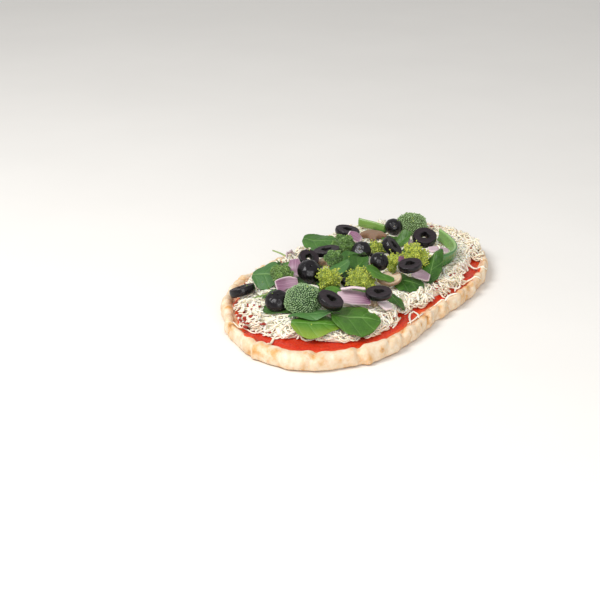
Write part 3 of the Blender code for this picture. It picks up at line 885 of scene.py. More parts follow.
def sauce_solid(shape, floor_map, edge):
    """The sauce: thin at its edge and deeper inside, with lumps of pulp, and its underside a little
    under the dough's surface."""
    share = np.concatenate([[0.05, 0.3, 0.5], 1 - (1 - bunched(44)) * 0.4])[:, None]
    edge = edge[::2]
    xy = polar(shape.angles[::2], edge * share)
    gap = edge * (1 - share)
    ground = floor_map.at(xy)
    pulp = 0.2 * MM * flat_noise(xy, 2.2 * MM, 23) + 0.28 * MM * flat_noise(xy, 6 * MM, 24)
    swell = np.sqrt(1 - (1 - np.clip(gap / (1.2 * MM), 0, 1)) ** 2)
    top = lifted(xy, ground + swell * (0.5 * MM + 1.0 * MM * step(0, 6 * MM, gap) + pulp))
    under = lifted(xy[::-4], ground[::-4] - 0.8 * MM)
    film = 0.9 * (1 - step(0.2 * MM, 3.0 * MM, gap + 1.2 * MM * flat_noise(xy, 5 * MM, 25)))
    return round_solid(np.concatenate([top, under]), film=np.concatenate([film, film[::-4]]))


# --- cheese ---


def cheese_material(look):
    """Grated mozzarella: dense, milky and slightly oily, so light goes a little way in. Its shaded colour is
    painted shade, mixed in at random on the shreds and more on the core.
    """
    made, tree, shader = new_material("grated_mozzarella", 0.42, 1.44, Subsurface_Weight=0.3)
    shader.inputs["Subsurface Radius"].default_value = (1.0, 0.75, 0.45)
    shader.inputs["Subsurface Scale"].default_value = 1.1 * MM
    # Painted shade: the shaded colour, by each point's share times a grain.
    tint = {0: held(tree, "tint"), 1: grain(tree, 5 * MM)}
    shaded = look.shade, add_node(tree, "Math", tint, operation="MULTIPLY").outputs[0]
    stained = linear("#E4A070"), held(tree, "stain", 0, 1, 0, 0.8)
    tree.links.new(layered(tree, look.curd, shaded, stained), shader.inputs["Base Color"])
    bumped(tree, shader, grain(tree, 0.8 * MM, 3.0), 0.12 * MM, 0.7)
    return made


class Bed:
    """The pile that strands are dropped on, and the undersides that they must stay below."""

    FOOTPRINT = np.array(list(product((-1, 0, 1), repeat=2)))

    def __init__(self, top, ceiling):
        self.top, self.ceiling = top, ceiling

    def lay(self, xy, thickness, pile, hold=0.35):
        """Heights of one strand's middle line on the pile, or None where it finds no room. The strand is
        stiff, so it bridges the gaps: each height is at least this share of the way up to its neighbours'
        mean."""
        rest = self.top.at(xy)
        z = rest.copy()
        for _ in range(4):
            mean = (np.append(z[1], z[:-1]) + np.append(z[1:], z[-2])) / 2
            z = np.maximum(rest, z + hold * (mean - z))
        z = z + thickness / 2
        if (z + thickness / 2 > self.ceiling.at(xy) - 0.2 * MM).any() or (z > pile.at(xy)).any():
            return None
        i, j = self.top.cells(xy[:, None] + self.FOOTPRINT * MAP_CELL)
        np.maximum.at(self.top.values, (i, j), np.broadcast_to(z[:, None] + 0.35 * thickness, i.shape))
        return z


# Width along a shred, as shares of its greatest.
SHRED_TAPER = (0.45, 0.85, 1, 1, 1, 1, 0.85, 0.5)


def wandering(rng, starts, lengths, curls, steps=len(SHRED_TAPER)):
    """Level paths through these starts: the heading turns by a share of its curl at each step, plus a slow
    sway."""
    count = len(starts)
    along = np.linspace(-0.5, 0.5, steps)
    heading = rng.uniform(0, tau, count)[:, None] + curls[:, None] * along
    heading = heading + 0.35 * np.sin(along * 7 + rng.uniform(0, tau, count)[:, None])
    step_ahead = np.stack([np.cos(heading), np.sin(heading)], -1) * (lengths / (steps - 1))[:, None, None]
    path = np.cumsum(step_ahead, axis=1)
    return starts[:, None] + path - path.mean(1, keepdims=True)


def shredded(rng, look, paths, bed, pile, **values):
    """Shreds of cheese along level paths, dropped one after another on the bed, all in one solid."""
    thick = look.thickness * rng.uniform(0.75, 1.2, len(paths))
    heights = [bed.lay(xy, t, pile) for xy, t in zip(paths, thick)]
    kept = np.array([i for i, z in enumerate(heights) if z is not None])
    paths = lifted(paths[kept], np.array([heights[i] for i in kept]))
    taper = np.array(SHRED_TAPER)
    wide = look.width * rng.uniform(0.65, 1.15, len(kept))[:, None] * taper
    values = {key: value[kept] for key, value in values.items()}
    # Each shred takes a random share of painted shade.
    return strands(paths, wide, thick[kept, None] * taper, 5, tint=rng.uniform(0, 1, len(kept)), **values)


# Angles round the pizza in degrees, and how many millimetres beyond its own edge the cheese may lie there.
OVERHANG = (
    (0, 14), (30, 12), (50, 5), (120, 3), (150, 3), (172, 5), (181, 1.5), (196, 1.2), (214, 1.5),
    (230, 3), (245, 4), (262, 2.5), (285, 3), (300, 1.5), (312, 0), (322, 3), (335, 11), (360, 14),
)  # fmt: skip
# Places that no cheese fell on, where the sauce shows: x, y and radius in millimetres.
BARE = np.array([
    (-110, 33, 5), (-99, 30, 4), (-78, 55, 5), (86, -54, 6), (74, -61, 8), (58, -70, 6), (28, -66, 4),
    (48, -61, 4), (62, -60, 4), (-17, -50, 3), (9, -62, 4), (-35, -58, 3), (-24, -65, 4),
])  # fmt: skip


# Single shreds that stand out over the sauce and the rim: points in millimetres.
LOOSE_SHREDS = (
    ((44, -64), (52, -64), (53, -69), (57, -72)),
    ((-39, -68), (-30, -61), (-21, -59), (-22, -64), (-31, -70)),
    ((28, -66), (40, -61), (49, -61)),
    ((5, -70), (14, -70), (17, -74)),
    ((-11, -67), (0, -67), (2, -72)),
    ((-131, -12), (-121, -8), (-110, -4)),
    ((76, -49), (75, -56), (71, -64), (74, -68)),
    ((98, -41), (97, -47), (88, -57)),
    ((110, -27), (105, -37), (100, -45)),
    ((-115, 29), (-117, 22), (-110, 21), (-113, 14)),
    ((-103, 34), (-95, 35), (-97, 28), (-103, 22)),
    ((-40, -66), (-29, -67), (-18, -66)),
    ((-109, -13), (-103, -19), (-108, -25), (-102, -30)),
    ((-100, -15), (-106, -21), (-99, -27), (-104, -33)),
    ((-108, -6), (-101, -12), (-106, -19), (-100, -22)),
    ((-98, -25), (-104, -32), (-97, -39)),
    ((-103, -22), (-97, -29), (-101, -37), (-94, -42)),
    ((-105, -26), (-98, -32), (-100, -41), (-92, -46)),
    ((-95, -34), (-99, -42), (-90, -47)),
    ((-36, -58), (-47, -61), (-55, -63)),
)
# Loose shreds at the cheese's edge: how many at most, how far out they lie and how that varies in
# millimetres, and their shortest and longest as shares of the mean length. Each batch is picked from this
# many tries.
LOOSE_BATCHES = ((620, 2.5, 3.5, 0.4, 1.1), (520, -3.0, 3.0, 0.35, 0.75))
LOOSE_TRIES = 1800
STRAY_SPECKS = 90
# Clusters of specks of sauce on the cheese: x, y and spread in millimetres, their number and their relative
# size.
SPECKS = (
    (-108, 26, 3, 7, 3), (-110, 18, 3, 7, 3.4), (-110, 8, 4, 5, 3), (-92, 27, 4, 6, 2.4),
    (-102, 34, 4, 6, 3), (18, -56, 3, 12, 1.3), (41, -57, 3, 10, 1.3), (14, -62, 3, 8, 1.5),
    (109, -35, 4, 10, 1.8), (63, -44, 3, 6, 1.2), (-56, -58, 4, 8, 1.3), (56, -34, 3, 5, 1),
    (96, -46, 4, 8, 1.5), (112, 10, 9, 16, 1.6), (100, -20, 9, 12, 1.2), (-70, 60, 8, 8, 1.5),
    (0, 64, 20, 14, 1.4),
)  # fmt: skip


# Shreds on top of the toppings: x and y in millimetres.
WHITE_BITS = ((46, -35), (70, -28), (-60, -48), (-66, 12))


def traced(places, steps=len(SHRED_TAPER)):
    """Level paths through these places in millimetres, their corners cut off twice, evenly resampled."""
    paths = []
    for place in places:
        corners = np.array(place, float) * MM
        for _ in range(2):
            before, after = corners[:-1], corners[1:]
            cut = np.stack([0.75 * before + 0.25 * after, 0.25 * before + 0.75 * after], 1)
            corners = np.concatenate([corners[:1], cut.reshape(-1, 2), corners[-1:]])
        run = np.append(0, np.cumsum(np.linalg.norm(np.diff(corners, axis=0), axis=1)))
        at = np.linspace(0, run[-1], steps)
        paths.append(np.stack([np.interp(at, run, column) for column in corners.T], axis=-1))
    return np.array(paths)


def bare_at(xy):
    """Whether points lie on a place that no cheese fell on."""
    return (np.linalg.norm(xy[..., None, :] - BARE[:, :2] * MM, axis=-1) < BARE[:, 2] * MM).any(-1)


# Where the cheese stays further in than its node: angle, spread in degrees, and millimetres.
RETREATS = ((193, 8, 8.5), (316, 8, 3.0))


class CheeseEdge:
    """The reach of the cheese's own edge, and how far its shreds may go."""

    def __init__(self, shape):
        self.angles = shape.angles[::2]
        self.reach = smooth_round(edge_reach("cheese", self.angles, CHEESE_LEVEL), 3)
        retreat = sum(by * np.exp(-((turned_by(self.angles, at) / wide) ** 2)) for at, wide, by in RETREATS)
        self.reach = self.reach - retreat * MM
        self.crust = shape.edge(self.angles)

    def at(self, angles):
        return np.interp(angles % tau, np.append(self.angles, tau), np.append(self.reach, self.reach[0]))

    def allowed(self, paths, more=0.0):
        """Which paths keep within the overhang and off the bare places."""
        angle = np.arctan2(paths[..., 1], paths[..., 0])
        at, far = np.transpose(OVERHANG)
        limit = self.at(angle) + np.interp(np.degrees(angle) % 360, at, far) * MM + more
        margin = np.where(turned_by(angle, 10) ** 2 < 45**2, 0.8, 3.5) * MM
        limit = np.minimum(limit, np.interp(angle % tau, self.angles, self.crust) - margin)
        return ((np.hypot(paths[..., 0], paths[..., 1]) < limit) & ~bare_at(paths)).all(-1)


def cheese_core(shape, edge, cheese_map, ground, ceiling):
    """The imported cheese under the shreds: the node's own surface, a little lower, with soft lumps."""
    angles = edge.angles
    reach = edge.reach - 4.2 * MM + 1.4 * MM * flat_noise(polar(angles, edge.reach), 4 * MM, 31)
    for x, y, radius in BARE * MM:
        far, off = np.hypot(x, y), np.radians(turned_by(angles, np.degrees(np.arctan2(y, x))))
        half = np.sqrt(np.maximum(radius**2 - (far * np.sin(off)) ** 2, 0))
        through = (half > 0) & (np.cos(off) > 0)
        reach = np.where(through, np.minimum(reach, far * np.cos(off) - half), reach)
    reach = smooth_round(reach, 1.2)
    share = np.concatenate([[0.04], np.linspace(0.1, 0.8, 44), 1 - (1 - bunched(22)) * 0.18])[:, None]
    xy = polar(angles, reach * share)
    swell = np.sqrt(1 - (1 - np.clip(reach * (1 - share) / (2.5 * MM), 0, 1)) ** 2)
    low = ground.at(xy)
    lump = 0.5 * MM * flat_noise(xy, 4.5 * MM, 32) + 0.3 * MM * flat_noise(xy, 2 * MM, 33)
    smooth = step(25 * MM, 70 * MM, xy[..., 0])
    high = cheese_map.at(xy) - (1.5 - 1.1 * smooth) * MM + lump * (1 - 0.4 * smooth)
    high = np.maximum(np.minimum(high, ceiling.at(xy) - CORE_CLEARANCE), low + 0.3 * MM)
    top = lifted(xy, low + swell * (high - low))
    under = lifted(xy[::-6], shape.floor - 0.3 * MM)
    # The core, seen in the gaps between the shreds, takes more painted shade than the shreds.
    return round_solid(np.concatenate([top, under]), tint=0.7)


def ceiling_of(names):
    """The undersides of these nodes, and far up where there is none."""
    made = HeightMap(FAR)
    for name in names:
        points, triangles = node_mesh(name)
        made.take(points, triangles.tolist(), underside=True)
    return made


# --- olives ---


def olive_material(look):
    """Ripe black olive, pitted and sliced: a wet, wrinkled near-black skin round matt purple-brown flesh,
    with painted shade darkening the flesh toward the pitting hole.
    """
    made, tree, shader = new_material("brined_black_olive", 0.3, 1.45)
    mottled = linear("#382730"), grain(tree, 1.6 * MM, 4.0)
    dark = linear("#0E080B"), held(tree, "deep")
    skin = layered(tree, look.skin, (linear("#120C12"), grain(tree, 4 * MM)))
    colour = layered(tree, look.flesh, mottled, dark, (skin, held(tree, "skin", 0.35, 0.65)))
    tree.links.new(colour, shader.inputs["Base Color"])
    tree.links.new(held(tree, "skin", 0, 1, 0.5, 0.24), shader.inputs["Roughness"])
    bumped(tree, shader, grain(tree, 0.7 * MM, 4.0), 0.14 * MM, 0.8)
    return made


def closed_profile(corners, count, soft):
    """A closed outline through corners, evenly resampled and then rounded by a narrow Gaussian. Every
    column of the corners is carried along, the first two being the place."""
    loop = np.array([*corners, corners[0]], float)
    run = np.append(0, np.cumsum(np.linalg.norm(np.diff(loop[:, :2], axis=0), axis=1)))
    at = np.arange(count) / count * run[-1]
    return [smooth_round(np.interp(at, run, column), soft) for column in loop.T]


def olive_solid(name, look, seed):
    """A slice or an end of a pitted olive: a closed outline of radius and height turned about the olive's
    axis.

    The radius sways by two lobes, the pitting hole by three and five, and the skin carries wrinkles along
    the axis."""
    pose, own = turned_pose(name)
    radius = np.hypot(own[:, 0], own[:, 1]).max()
    low, high = own[:, 2].min(), own[:, 2].max()
    hole = 0.36 * radius
    if name in OLIVE_ENDS:
        tall = high - low
        corners = [
            (hole, high, 0),
            (0.95 * radius, high, 0),
            (0.97 * radius, high - 0.02 * tall, 1),
            (1.01 * radius, high - 0.16 * tall, 1),
            (0.97 * radius, high - 0.42 * tall, 1),
            (0.8 * radius, high - 0.72 * tall, 1),
            (0.52 * radius, high - 0.94 * tall, 1),
            (0.05 * radius, low, 1),
            (0.03 * radius, low + 0.1 * tall, 0),
            (0.85 * hole, low + 0.4 * tall, 0),
        ]
    else:
        corners = [
            (hole, high, 0),
            (0.95 * radius, high, 0),
            (0.965 * radius, 0.93 * high, 1),
            (1.01 * radius, 0, 1),
            (0.965 * radius, 0.93 * low, 1),
            (0.95 * radius, low, 0),
            (hole, low, 0),
        ]
    r, z, skin = (column[:, None] for column in closed_profile(corners, 44, 0.9))
    turn = np.arange(64) * tau / 64
    phase = seed * 1.7
    inward = np.clip((radius - r) / (radius - hole), 0, 1)
    sway = 1 + 0.03 * np.cos(2 * turn + phase)
    pit = 1 + inward**2 * (0.13 * np.cos(3 * turn + phase) + 0.07 * np.cos(5 * turn - phase))
    grid = lifted(polar(turn, r * sway * pit), z + 0 * turn)
    cut = 1 - skin
    wrinkles = noise(grid * (1, 1, 0.3) + seed, 1.5 * MM, 41) + 0.6 * noise(grid + seed, 3.4 * MM, 42)
    rough = noise(grid + seed, 1.1 * MM, 43) + 0.8 * noise(grid * (1, 1, 0.2) + seed, 2.6 * MM, 44)
    out = unit(np.stack([grid[..., 0], grid[..., 1], 1.6 * (grid[..., 2] - (low + high) / 2)], -1))
    grid = grid + out * (skin * look.wrinkle * wrinkles)[..., None]
    dished = 0.13 * MM * rough - 0.35 * MM * np.sin(pi * inward)
    grid[..., 2] += np.sign(z - (low + high) / 2) * cut * dished
    # Darker toward the pitting hole: painted shade. The 0.3 floor on the cut faces is the flesh's own darker
    # tone.
    deep = step(0.62, 0.95, inward) * np.ones_like(turn)
    return ring_solid(grid, skin=skin * np.ones_like(turn), deep=np.maximum(deep, 0.3 * cut)).placed(pose)


# --- broccoli ---


def bud_material(look):
    """Broccoli flower buds: a matt, bluish wax over green, yellow where they open. The shade value is painted
    light and shade: dark green in the gaps between buds, lighter toward the tops of the clusters.
    """
    made, tree, shader = new_material("broccoli_buds", 0.62, 1.42)
    fresh = look.bud, held(tree, "shade")
    lit = linear("#8DB361"), held(tree, "shade", 0.7, 1.0, 0, 0.75)
    waxy = linear("#B2CC9F"), held(tree, "wax", 0, 1, 0, 0.85)
    opened = layered(tree, linear("#7C9226"), (look.open_bud, held(tree, "shade")))
    layers = fresh, lit, waxy, (opened, held(tree, "age")), (look.stalk, held(tree, "stalk"))
    tree.links.new(layered(tree, look.deep, *layers), shader.inputs["Base Color"])
    bumped(tree, shader, grain(tree, 0.5 * MM, 3.0), 0.1 * MM, 0.8)
    return made


def floret_solid(name, look, seed):
    """A floret: branches that fan out under a lumpy crown, whose skin is all buds.

    The crown is a flattened dome whose reach grows toward the middle of each of its clusters, which lie on
    a sunflower spiral. Buds stand on a finer spiral of the same kind, and the older the floret the further
    some of them have grown out, each on its own thin stalk."""
    rng = np.random.default_rng(100 + seed)
    age = FLORET_AGE[name]
    tight = name in ("broccoli_01", "broccoli_05")
    pose, own = turned_pose(name)
    reach = np.hypot(own[:, 0], own[:, 1])
    foot, top = own[:, 2].min(), own[:, 2].max()
    widest, radius = own[reach.argmax(), 2], reach.max()
    height = (top - widest) / 0.55
    base = widest - 0.42 * height
    height *= 0.97

    clusters = fibonacci(int(7 + 5 * (radius / (8 * MM)) ** 2), -0.25)
    clusters = unit(clusters + rng.normal(0, 0.12, clusters.shape))
    sharp = 9.0 if age < 0.5 else 12.0

    def crown(way):
        near = np.exp(-sharp * (1 - way @ clusters.T)).max(-1)
        swell = 0.88 + 0.14 * near if tight else 0.74 + 0.3 * near if age < 0.5 else 0.56 + 0.4 * near
        flat = np.where(way[..., 2] > 0, height, 0.34 * height)
        return way * np.stack([radius * swell, radius * swell, flat * swell], -1) + (0, 0, base), near

    level = np.linspace(0.04, pi - 0.3, 26)[:, None]
    turn = np.arange(44) * tau / 44
    way = lifted(polar(turn, np.sin(level)), np.cos(level))
    core, near = crown(way)
    core = core + way * (0.25 * MM * noise(core, 1.1 * MM, seed))[..., None]
    # The core takes the between-buds colour: painted shade in the gaps between the buds.
    parts = [round_solid(core, shade=0.05 if tight else 0.1 + 0.25 * near, age=age * 0.8, stalk=0.25 * age)]

    size = look.bud_size * (1.0 if age < 0.5 else 1.15)
    share = 0.5 if tight else 1.0 if age < 0.5 else 0.62
    count = int(2.4 * pi * radius * (radius + 0.6 * height) / 2 / (0.6 * size**2) * share)
    ways = fibonacci(count, -0.45)
    ways = unit(ways + rng.normal(0, 0.35 / np.sqrt(count), ways.shape))
    seats, near = crown(ways)
    grown = rng.uniform(0, 1, count) ** 2.5 * (0.5 + 2.6 * age) * MM * (0.4 + near)
    buds = seats + ways * grown[:, None]
    sizes = (size / 2 * rng.uniform(0.7, 1.15, count))[:, None] * (1, 1, 1.25)
    # Loose florets' buds near a cluster's middle, where the crown stands highest, are lighter (painted
    # light). Those in the hollows are darker (painted shade).
    shade = np.clip(0.75 if tight else 0.2 + 0.6 * near + rng.normal(0, 0.2, count), 0, 1) + np.zeros(count)
    wax = rng.uniform(0.3, 1.0, count) if tight else 0.35 * rng.uniform(0, 1, count) ** 2
    tipped = np.clip(age * 1.15 - 0.25 * rng.uniform(0, 1, count) + 0.12 * near, 0, 1) * (age > 0.5)
    turned = np.maximum(tipped, age * 0.5)
    parts.append(scattered(ball(), buds, sizes, random_turns(rng, count), shade=shade, wax=wax, age=turned))
    tall = grown > 0.9 * MM
    if tall.any():
        run = np.linspace(0, 1, 3)[:, None]
        paths = (seats - ways * 1.2 * MM)[tall, None] * (1 - run) + buds[tall, None] * run
        paths = paths + (0, 0, 1e-6)
        wide = np.full((tall.sum(), 3), 0.5 * MM)
        pale, old = np.full(tall.sum(), 0.75), np.full(tall.sum(), age)
        parts.append(strands(paths, wide, wide, 4, stalk=pale, age=old))

    arms = int(5 + 2 * radius / (5 * MM))
    ends = fibonacci(arms, 0.35) * (0.62 * radius, 0.62 * radius, 0.5 * height) + (0, 0, base)
    trunk = 0.23 * radius
    start = np.array((0, 0, foot))
    for end in ends:
        hip = np.array((*(end[:2] * 0.22), base - 0.35 * (base - foot)))
        path = bezier(start + (*(end[:2] * 0.12), 0), hip, end, 9)
        thick = np.linspace(trunk * 0.72, 0.09 * radius, 9)
        parts.append(strand(path, thick, 8, stalk=[1.0], shade=[0.5]))
    return joined(parts).placed(pose)


# --- spinach ---


def spinach_material(look):
    """A raw spinach leaf: satin, thicker green between sunken paler veins, duller and greyer underneath. That
    grey is partly the underside's own colour and partly a painted sheen.
    """
    made, tree, shader = new_material("raw_spinach_leaf", 0.38, 1.42)
    along = add_node(tree, "Attribute", attribute_name="along").outputs["Fac"]
    across = add_node(tree, "Attribute", attribute_name="across").outputs["Fac"]
    half = add_node(tree, "Math", {0: across}, operation="ABSOLUTE").outputs[0]
    # Side veins leave the midrib, three or four to a side, and bend toward the tip.
    lean = add_node(tree, "Math", {0: half, 1: -VEIN_LEAN, 2: 0.0}, operation="MULTIPLY_ADD").outputs[0]
    count = add_node(tree, "Math", {0: along, 1: SIDE_VEINS, 2: lean}, operation="MULTIPLY_ADD").outputs[0]
    wave = add_node(tree, "Math", {0: count, 1: 1.0}, operation="PINGPONG").outputs[0]
    side_vein = add_node(tree, "MapRange", {"Value": wave, 1: 0.09, 2: 0.02, 3: 0.0, 4: 0.35}).outputs[0]
    midrib = add_node(tree, "MapRange", {"Value": half, 1: 0.05, 2: 0.018, 3: 0.0, 4: 0.7}).outputs[0]
    veins = add_node(tree, "Math", {0: side_vein, 1: midrib}, operation="MAXIMUM").outputs[0]
    place = add_node(tree, "TexCoord").outputs["Object"]
    cells = {"Vector": place, "Scale": 1 / (1.5 * MM)}
    cells = add_node(tree, "TexVoronoi", cells, feature="DISTANCE_TO_EDGE")
    net = {"Value": cells.outputs["Distance"], 1: 0.07, 2: 0.0, 3: 0.0, 4: 0.16}
    net = add_node(tree, "MapRange", net).outputs[0]
    all_veins = add_node(tree, "Math", {0: veins, 1: net}, operation="MAXIMUM").outputs[0]
    tone = {0: grain(tree, 6 * MM), 1: held(tree, "bright", 0, 1, -0.45, 0.45)}
    lit = look.bright, add_node(tree, "Math", tone, operation="ADD").outputs[0]
    yellowed = linear("#8DA233"), held(tree, "yellow", 0, 1, 0, 0.75)
    # Grey-green: partly the paler underside, partly a painted sheen.
    greyed_underside_and_sheen = linear("#4F7A4B"), held(tree, "pale", 0, 1, 0, 0.75)
    colour = layered(tree, look.blade, lit, yellowed, greyed_underside_and_sheen, (look.vein, all_veins))
    tree.links.new(colour, shader.inputs["Base Color"])
    relief = {0: all_veins, 1: -1.0, 2: grain(tree, 1.2 * MM)}
    relief = add_node(tree, "Math", relief, operation="MULTIPLY_ADD").outputs[0]
    bumped(tree, shader, relief, 0.22 * MM, 0.8)
    return made


# Brightness, yellowing of one edge, and 1 where the grey underside lies up; the grey is partly the
# underside's own colour and partly a painted sheen.
LEAF_TONES = {
    "spinach_02": (0.8, 0.9, 0),
    "spinach_03": (0.45, 0.1, 0),
    "spinach_04": (0.3, 0, 0.7),
    "spinach_05": (0.4, 0, 0.2),
    "spinach_10": (0.5, 0, 0.75),
    "spinach_11": (0.75, 0.2, 0),
    "spinach_12": (0.3, 0, 0.1),
    "spinach_13": (0.5, 0.3, 0),
    "spinach_14": (0.45, 0.1, 0),
}


def leaf_outline(along):
    """Half width of a leaf as a share of its greatest, from the stem end at 0 to the tip at 1."""
    return np.sin(pi * (0.02 + 0.965 * along) ** 0.8) ** 0.75


def leaf_surface(centre, ahead, length, width, sheet, seed, rows=64, columns=40):
    """A leaf's middle surface: its outline laid on a sheet of heights, quilted between the veins, rippled
    at its edge, with the midrib sunk."""
    u = bunched(rows)[:, None] * 0.6 + np.linspace(0, 1, rows)[:, None] * 0.4
    v = np.linspace(-1, 1, columns)[None]
    v = 0.75 * v + 0.25 * np.sin(v * pi / 2)
    aside = np.array((-ahead[1], ahead[0]))
    ripple = 1 + 0.035 * np.sin(9 * u + seed) * np.abs(v) + 0.02 * np.sin(23 * u + 2 * seed) * v
    x, y = (u - 0.5) * length + 0 * v, v * leaf_outline(u) * width / 2 * ripple
    xy = centre + x[..., None] * ahead + y[..., None] * aside
    wave = np.abs((SIDE_VEINS * u - VEIN_LEAN * np.abs(v)) % 2 - 1)
    quilt = 0.3 * MM * (1 - np.exp(-(((1 - wave) / 0.16) ** 2))) * (1 - np.exp(-((v / 0.07) ** 2)))
    quilt = quilt + 0.2 * MM * flat_noise(xy, 3 * MM, seed) + 0.7 * MM * flat_noise(xy, 9 * MM, seed + 60)
    curl = 0.9 * MM * np.abs(v) ** 3 * np.sin(8 * u + 3 * seed + 1.3 * np.sign(v))
    return lifted(xy, sheet(xy) + quilt + curl), u + 0 * v, v + 0 * u


def leaf_solid(name, look, seed):
    points, _ = node_mesh(name)
    flat = points[:, :2]
    centre = (flat.max(0) + flat.min(0)) / 2
    ahead = np.linalg.eigh(np.cov((flat - flat.mean(0)).T))[1][:, -1]
    aside = np.array((-ahead[1], ahead[0]))
    x, y = (flat - centre) @ ahead, (flat - centre) @ aside
    centre = centre + ahead * (x.max() + x.min()) / 2 + aside * (y.max() + y.min()) / 2
    if (x * np.abs(y) ** 3).sum() > 0:
        ahead = -ahead
    plate = ThinPlate(points)
    middle, along, across = leaf_surface(centre, ahead, np.ptp(x), np.ptp(y) * 1.02, plate.at, seed)
    bright, yellow, pale = LEAF_TONES.get(name, (0.15, 0, 0))
    edge = step(-0.1, -0.95, across) if name == "spinach_02" else np.abs(across) ** 4
    values = {"along": along, "across": across, "bright": bright, "yellow": yellow * edge, "pale": pale}
    return thick_sheet(middle, look.thickness, LEAF_ROUNDING, **values)


# --- onion, pepper and mushroom ---


def onion_material(look):
    """Raw red onion: wet, crisp flesh, purple on the outer side of each layer, with fine pale lines along
    it."""
    made, tree, shader = new_material("raw_red_onion", 0.3, 1.4, Subsurface_Weight=0.25)
    shader.inputs["Subsurface Radius"].default_value = (1.0, 0.6, 0.8)
    shader.inputs["Subsurface Scale"].default_value = 1.5 * MM
    across = add_node(tree, "Attribute", attribute_name="across").outputs["Fac"]
    place = add_node(tree, "CombineXYZ", {0: across}).outputs[0]
    lines = add_node(tree, "TexNoise", {"Vector": place, "Scale": 8.0, "Detail": 3.0}).outputs["Fac"]
    streak = add_node(tree, "MapRange", {"Value": lines, 1: 0.45, 2: 0.6, 3: 0.0, 4: 0.7}).outputs[0]
    purple = layered(tree, look.skin, (linear("#B58AA4"), streak)), held(tree, "purple")
    rim = look.flesh, held(tree, "border", 0.1, 0.9, 0, 0.85)
    tree.links.new(layered(tree, look.flesh, purple, rim), shader.inputs["Base Color"])
    bumped(tree, shader, lines, 0.25 * MM, 0.5)
    return made


# How purple the outer side, the inner side, and how far that fades toward one end.
ONION_TONES = {
    "onion_01": (0.5, 0.95, 0.2),
    "onion_02": (1.0, 0.6, 0.6),
    "onion_03": (0.15, 0.1, 0),
    "onion_04": (0.9, 0.6, 0.2),
    "onion_05": (0.95, 0.7, 0.2),
    "onion_06": (0.6, 0.4, 0.3),
    "onion_07": (0.45, 0.3, 0),
    "onion_08": (1.0, 0.7, 0.2),
    "onion_09": (0.75, 0.5, 0.4),
    "onion_10": (1.0, 0.8, 0),
}


def slab_grid(own, bend, rows, columns, shrink, fullness):
    """The middle surface of a slab in its own axes: a barrel-shaped outline on the slab's fitted surface."""
    u = 2 * bunched(rows)[:, None] - 1
    v = 2 * bunched(columns)[None] - 1
    x = (own[:, 0].max() - own[:, 0].min()) / 2 * shrink * u + (own[:, 0].max() + own[:, 0].min()) / 2 + 0 * v
    half = (own[:, 1].max() - own[:, 1].min()) / 2 * shrink
    y = half * v * (1 - fullness * np.abs(u) ** 1.8) + (own[:, 1].max() + own[:, 1].min()) / 2
    return np.stack([x, y, terms(x, y) @ bend], axis=-1), u + 0 * v, v + 0 * u


def onion_solid(name, seed):
    pose, own, bend = slab_pose(name)
    middle, along, across = slab_grid(own, bend, 34, 26, 0.98, 0.36)
    middle[..., 2] += 0.25 * MM * noise(middle, 4 * MM, seed)
    middle[..., 1] += 0.3 * MM * noise(middle * (1, 0, 0), 3 * MM, seed + 50)
    made = thick_sheet(middle, ONION_THICKNESS, 0.9 * MM, along=along, across=across)
    outer, inner, fade = ONION_TONES[name]
    purple = inner + (outer - inner) * made.values["side"]
    made.values["purple"] = purple * (1 - fade * np.clip(0.5 + 0.5 * made.values["along"], 0, 1))
    return made.placed(pose)


def pepper_material(look):
    """Green sweet pepper: a waxy, glossy skin over paler flesh, which shows on the inner wall and at every
    cut."""
    made, tree, shader = new_material("cut_green_pepper", 0.2, 1.47, Coat_Weight=0.3, Coat_Roughness=0.12)
    varied = linear("#458A34"), grain(tree, 9 * MM, 2.0)
    skin = layered(tree, look.skin, varied, (linear("#93B05C"), held(tree, "young")))
    flecked = linear("#8DB368"), grain(tree, 1.5 * MM, 4.0)
    cut = linear("#C2D494"), held(tree, "border", 0.75, 1.0, 0, 0.35)
    colour = layered(tree, look.flesh, flecked, (skin, held(tree, "side", 0.5, 0.75)), cut)
    tree.links.new(colour, shader.inputs["Base Color"])
    bumped(tree, shader, grain(tree, 2.5 * MM, 3.0), 0.18 * MM, 0.5)
    return made


def pepper_solid(name, seed):
    pose, own, bend = slab_pose(name)
    rows = 90 if np.ptp(own[:, 0]) > 40 * MM else 44
    middle, along, across = slab_grid(own, bend, rows, 22, 0.985, 0.0)
    middle[..., 1] *= 1 + 0.05 * noise(middle * (1, 0, 0), 9 * MM, seed)
    middle[..., 2] += 0.35 * MM * noise(middle, 7 * MM, seed + 3) - 0.5 * MM * across**2
    young = 0.65 if name == "pepper_02" else 0.0
    made = thick_sheet(middle, PEPPER_THICKNESS, 1.0 * MM, along=along, across=across, young=young)
    return made.placed(pose)


def mushroom_material(look):
    """A raw white mushroom, sliced: matt cream flesh, a tan skin round the cap and a brown band of gills."""
    made, tree, shader = new_material("sliced_raw_mushroom", 0.6, 1.4, Subsurface_Weight=0.15)
    shader.inputs["Subsurface Scale"].default_value = 1.2 * MM
    mottle = add_node(tree, "MapRange", {"Value": grain(tree, 3 * MM, 4.0), 1: 0.45, 2: 0.75}).outputs[0]
    mottled = linear("#B99F7D"), mottle
    browned = linear("#6A4430"), held(tree, "brown")
    gilled = look.rim, held(tree, "gill", 0, 1, 0, 0.9)
    rimmed = look.rim, held(tree, "rim", 0.2, 1.0, 0, 0.85)
    colour = layered(tree, look.flesh, mottled, browned, gilled, rimmed)
    tree.links.new(colour, shader.inputs["Base Color"])
    bumped(tree, shader, grain(tree, 0.9 * MM, 4.0), 0.2 * MM, 0.8)
    return made


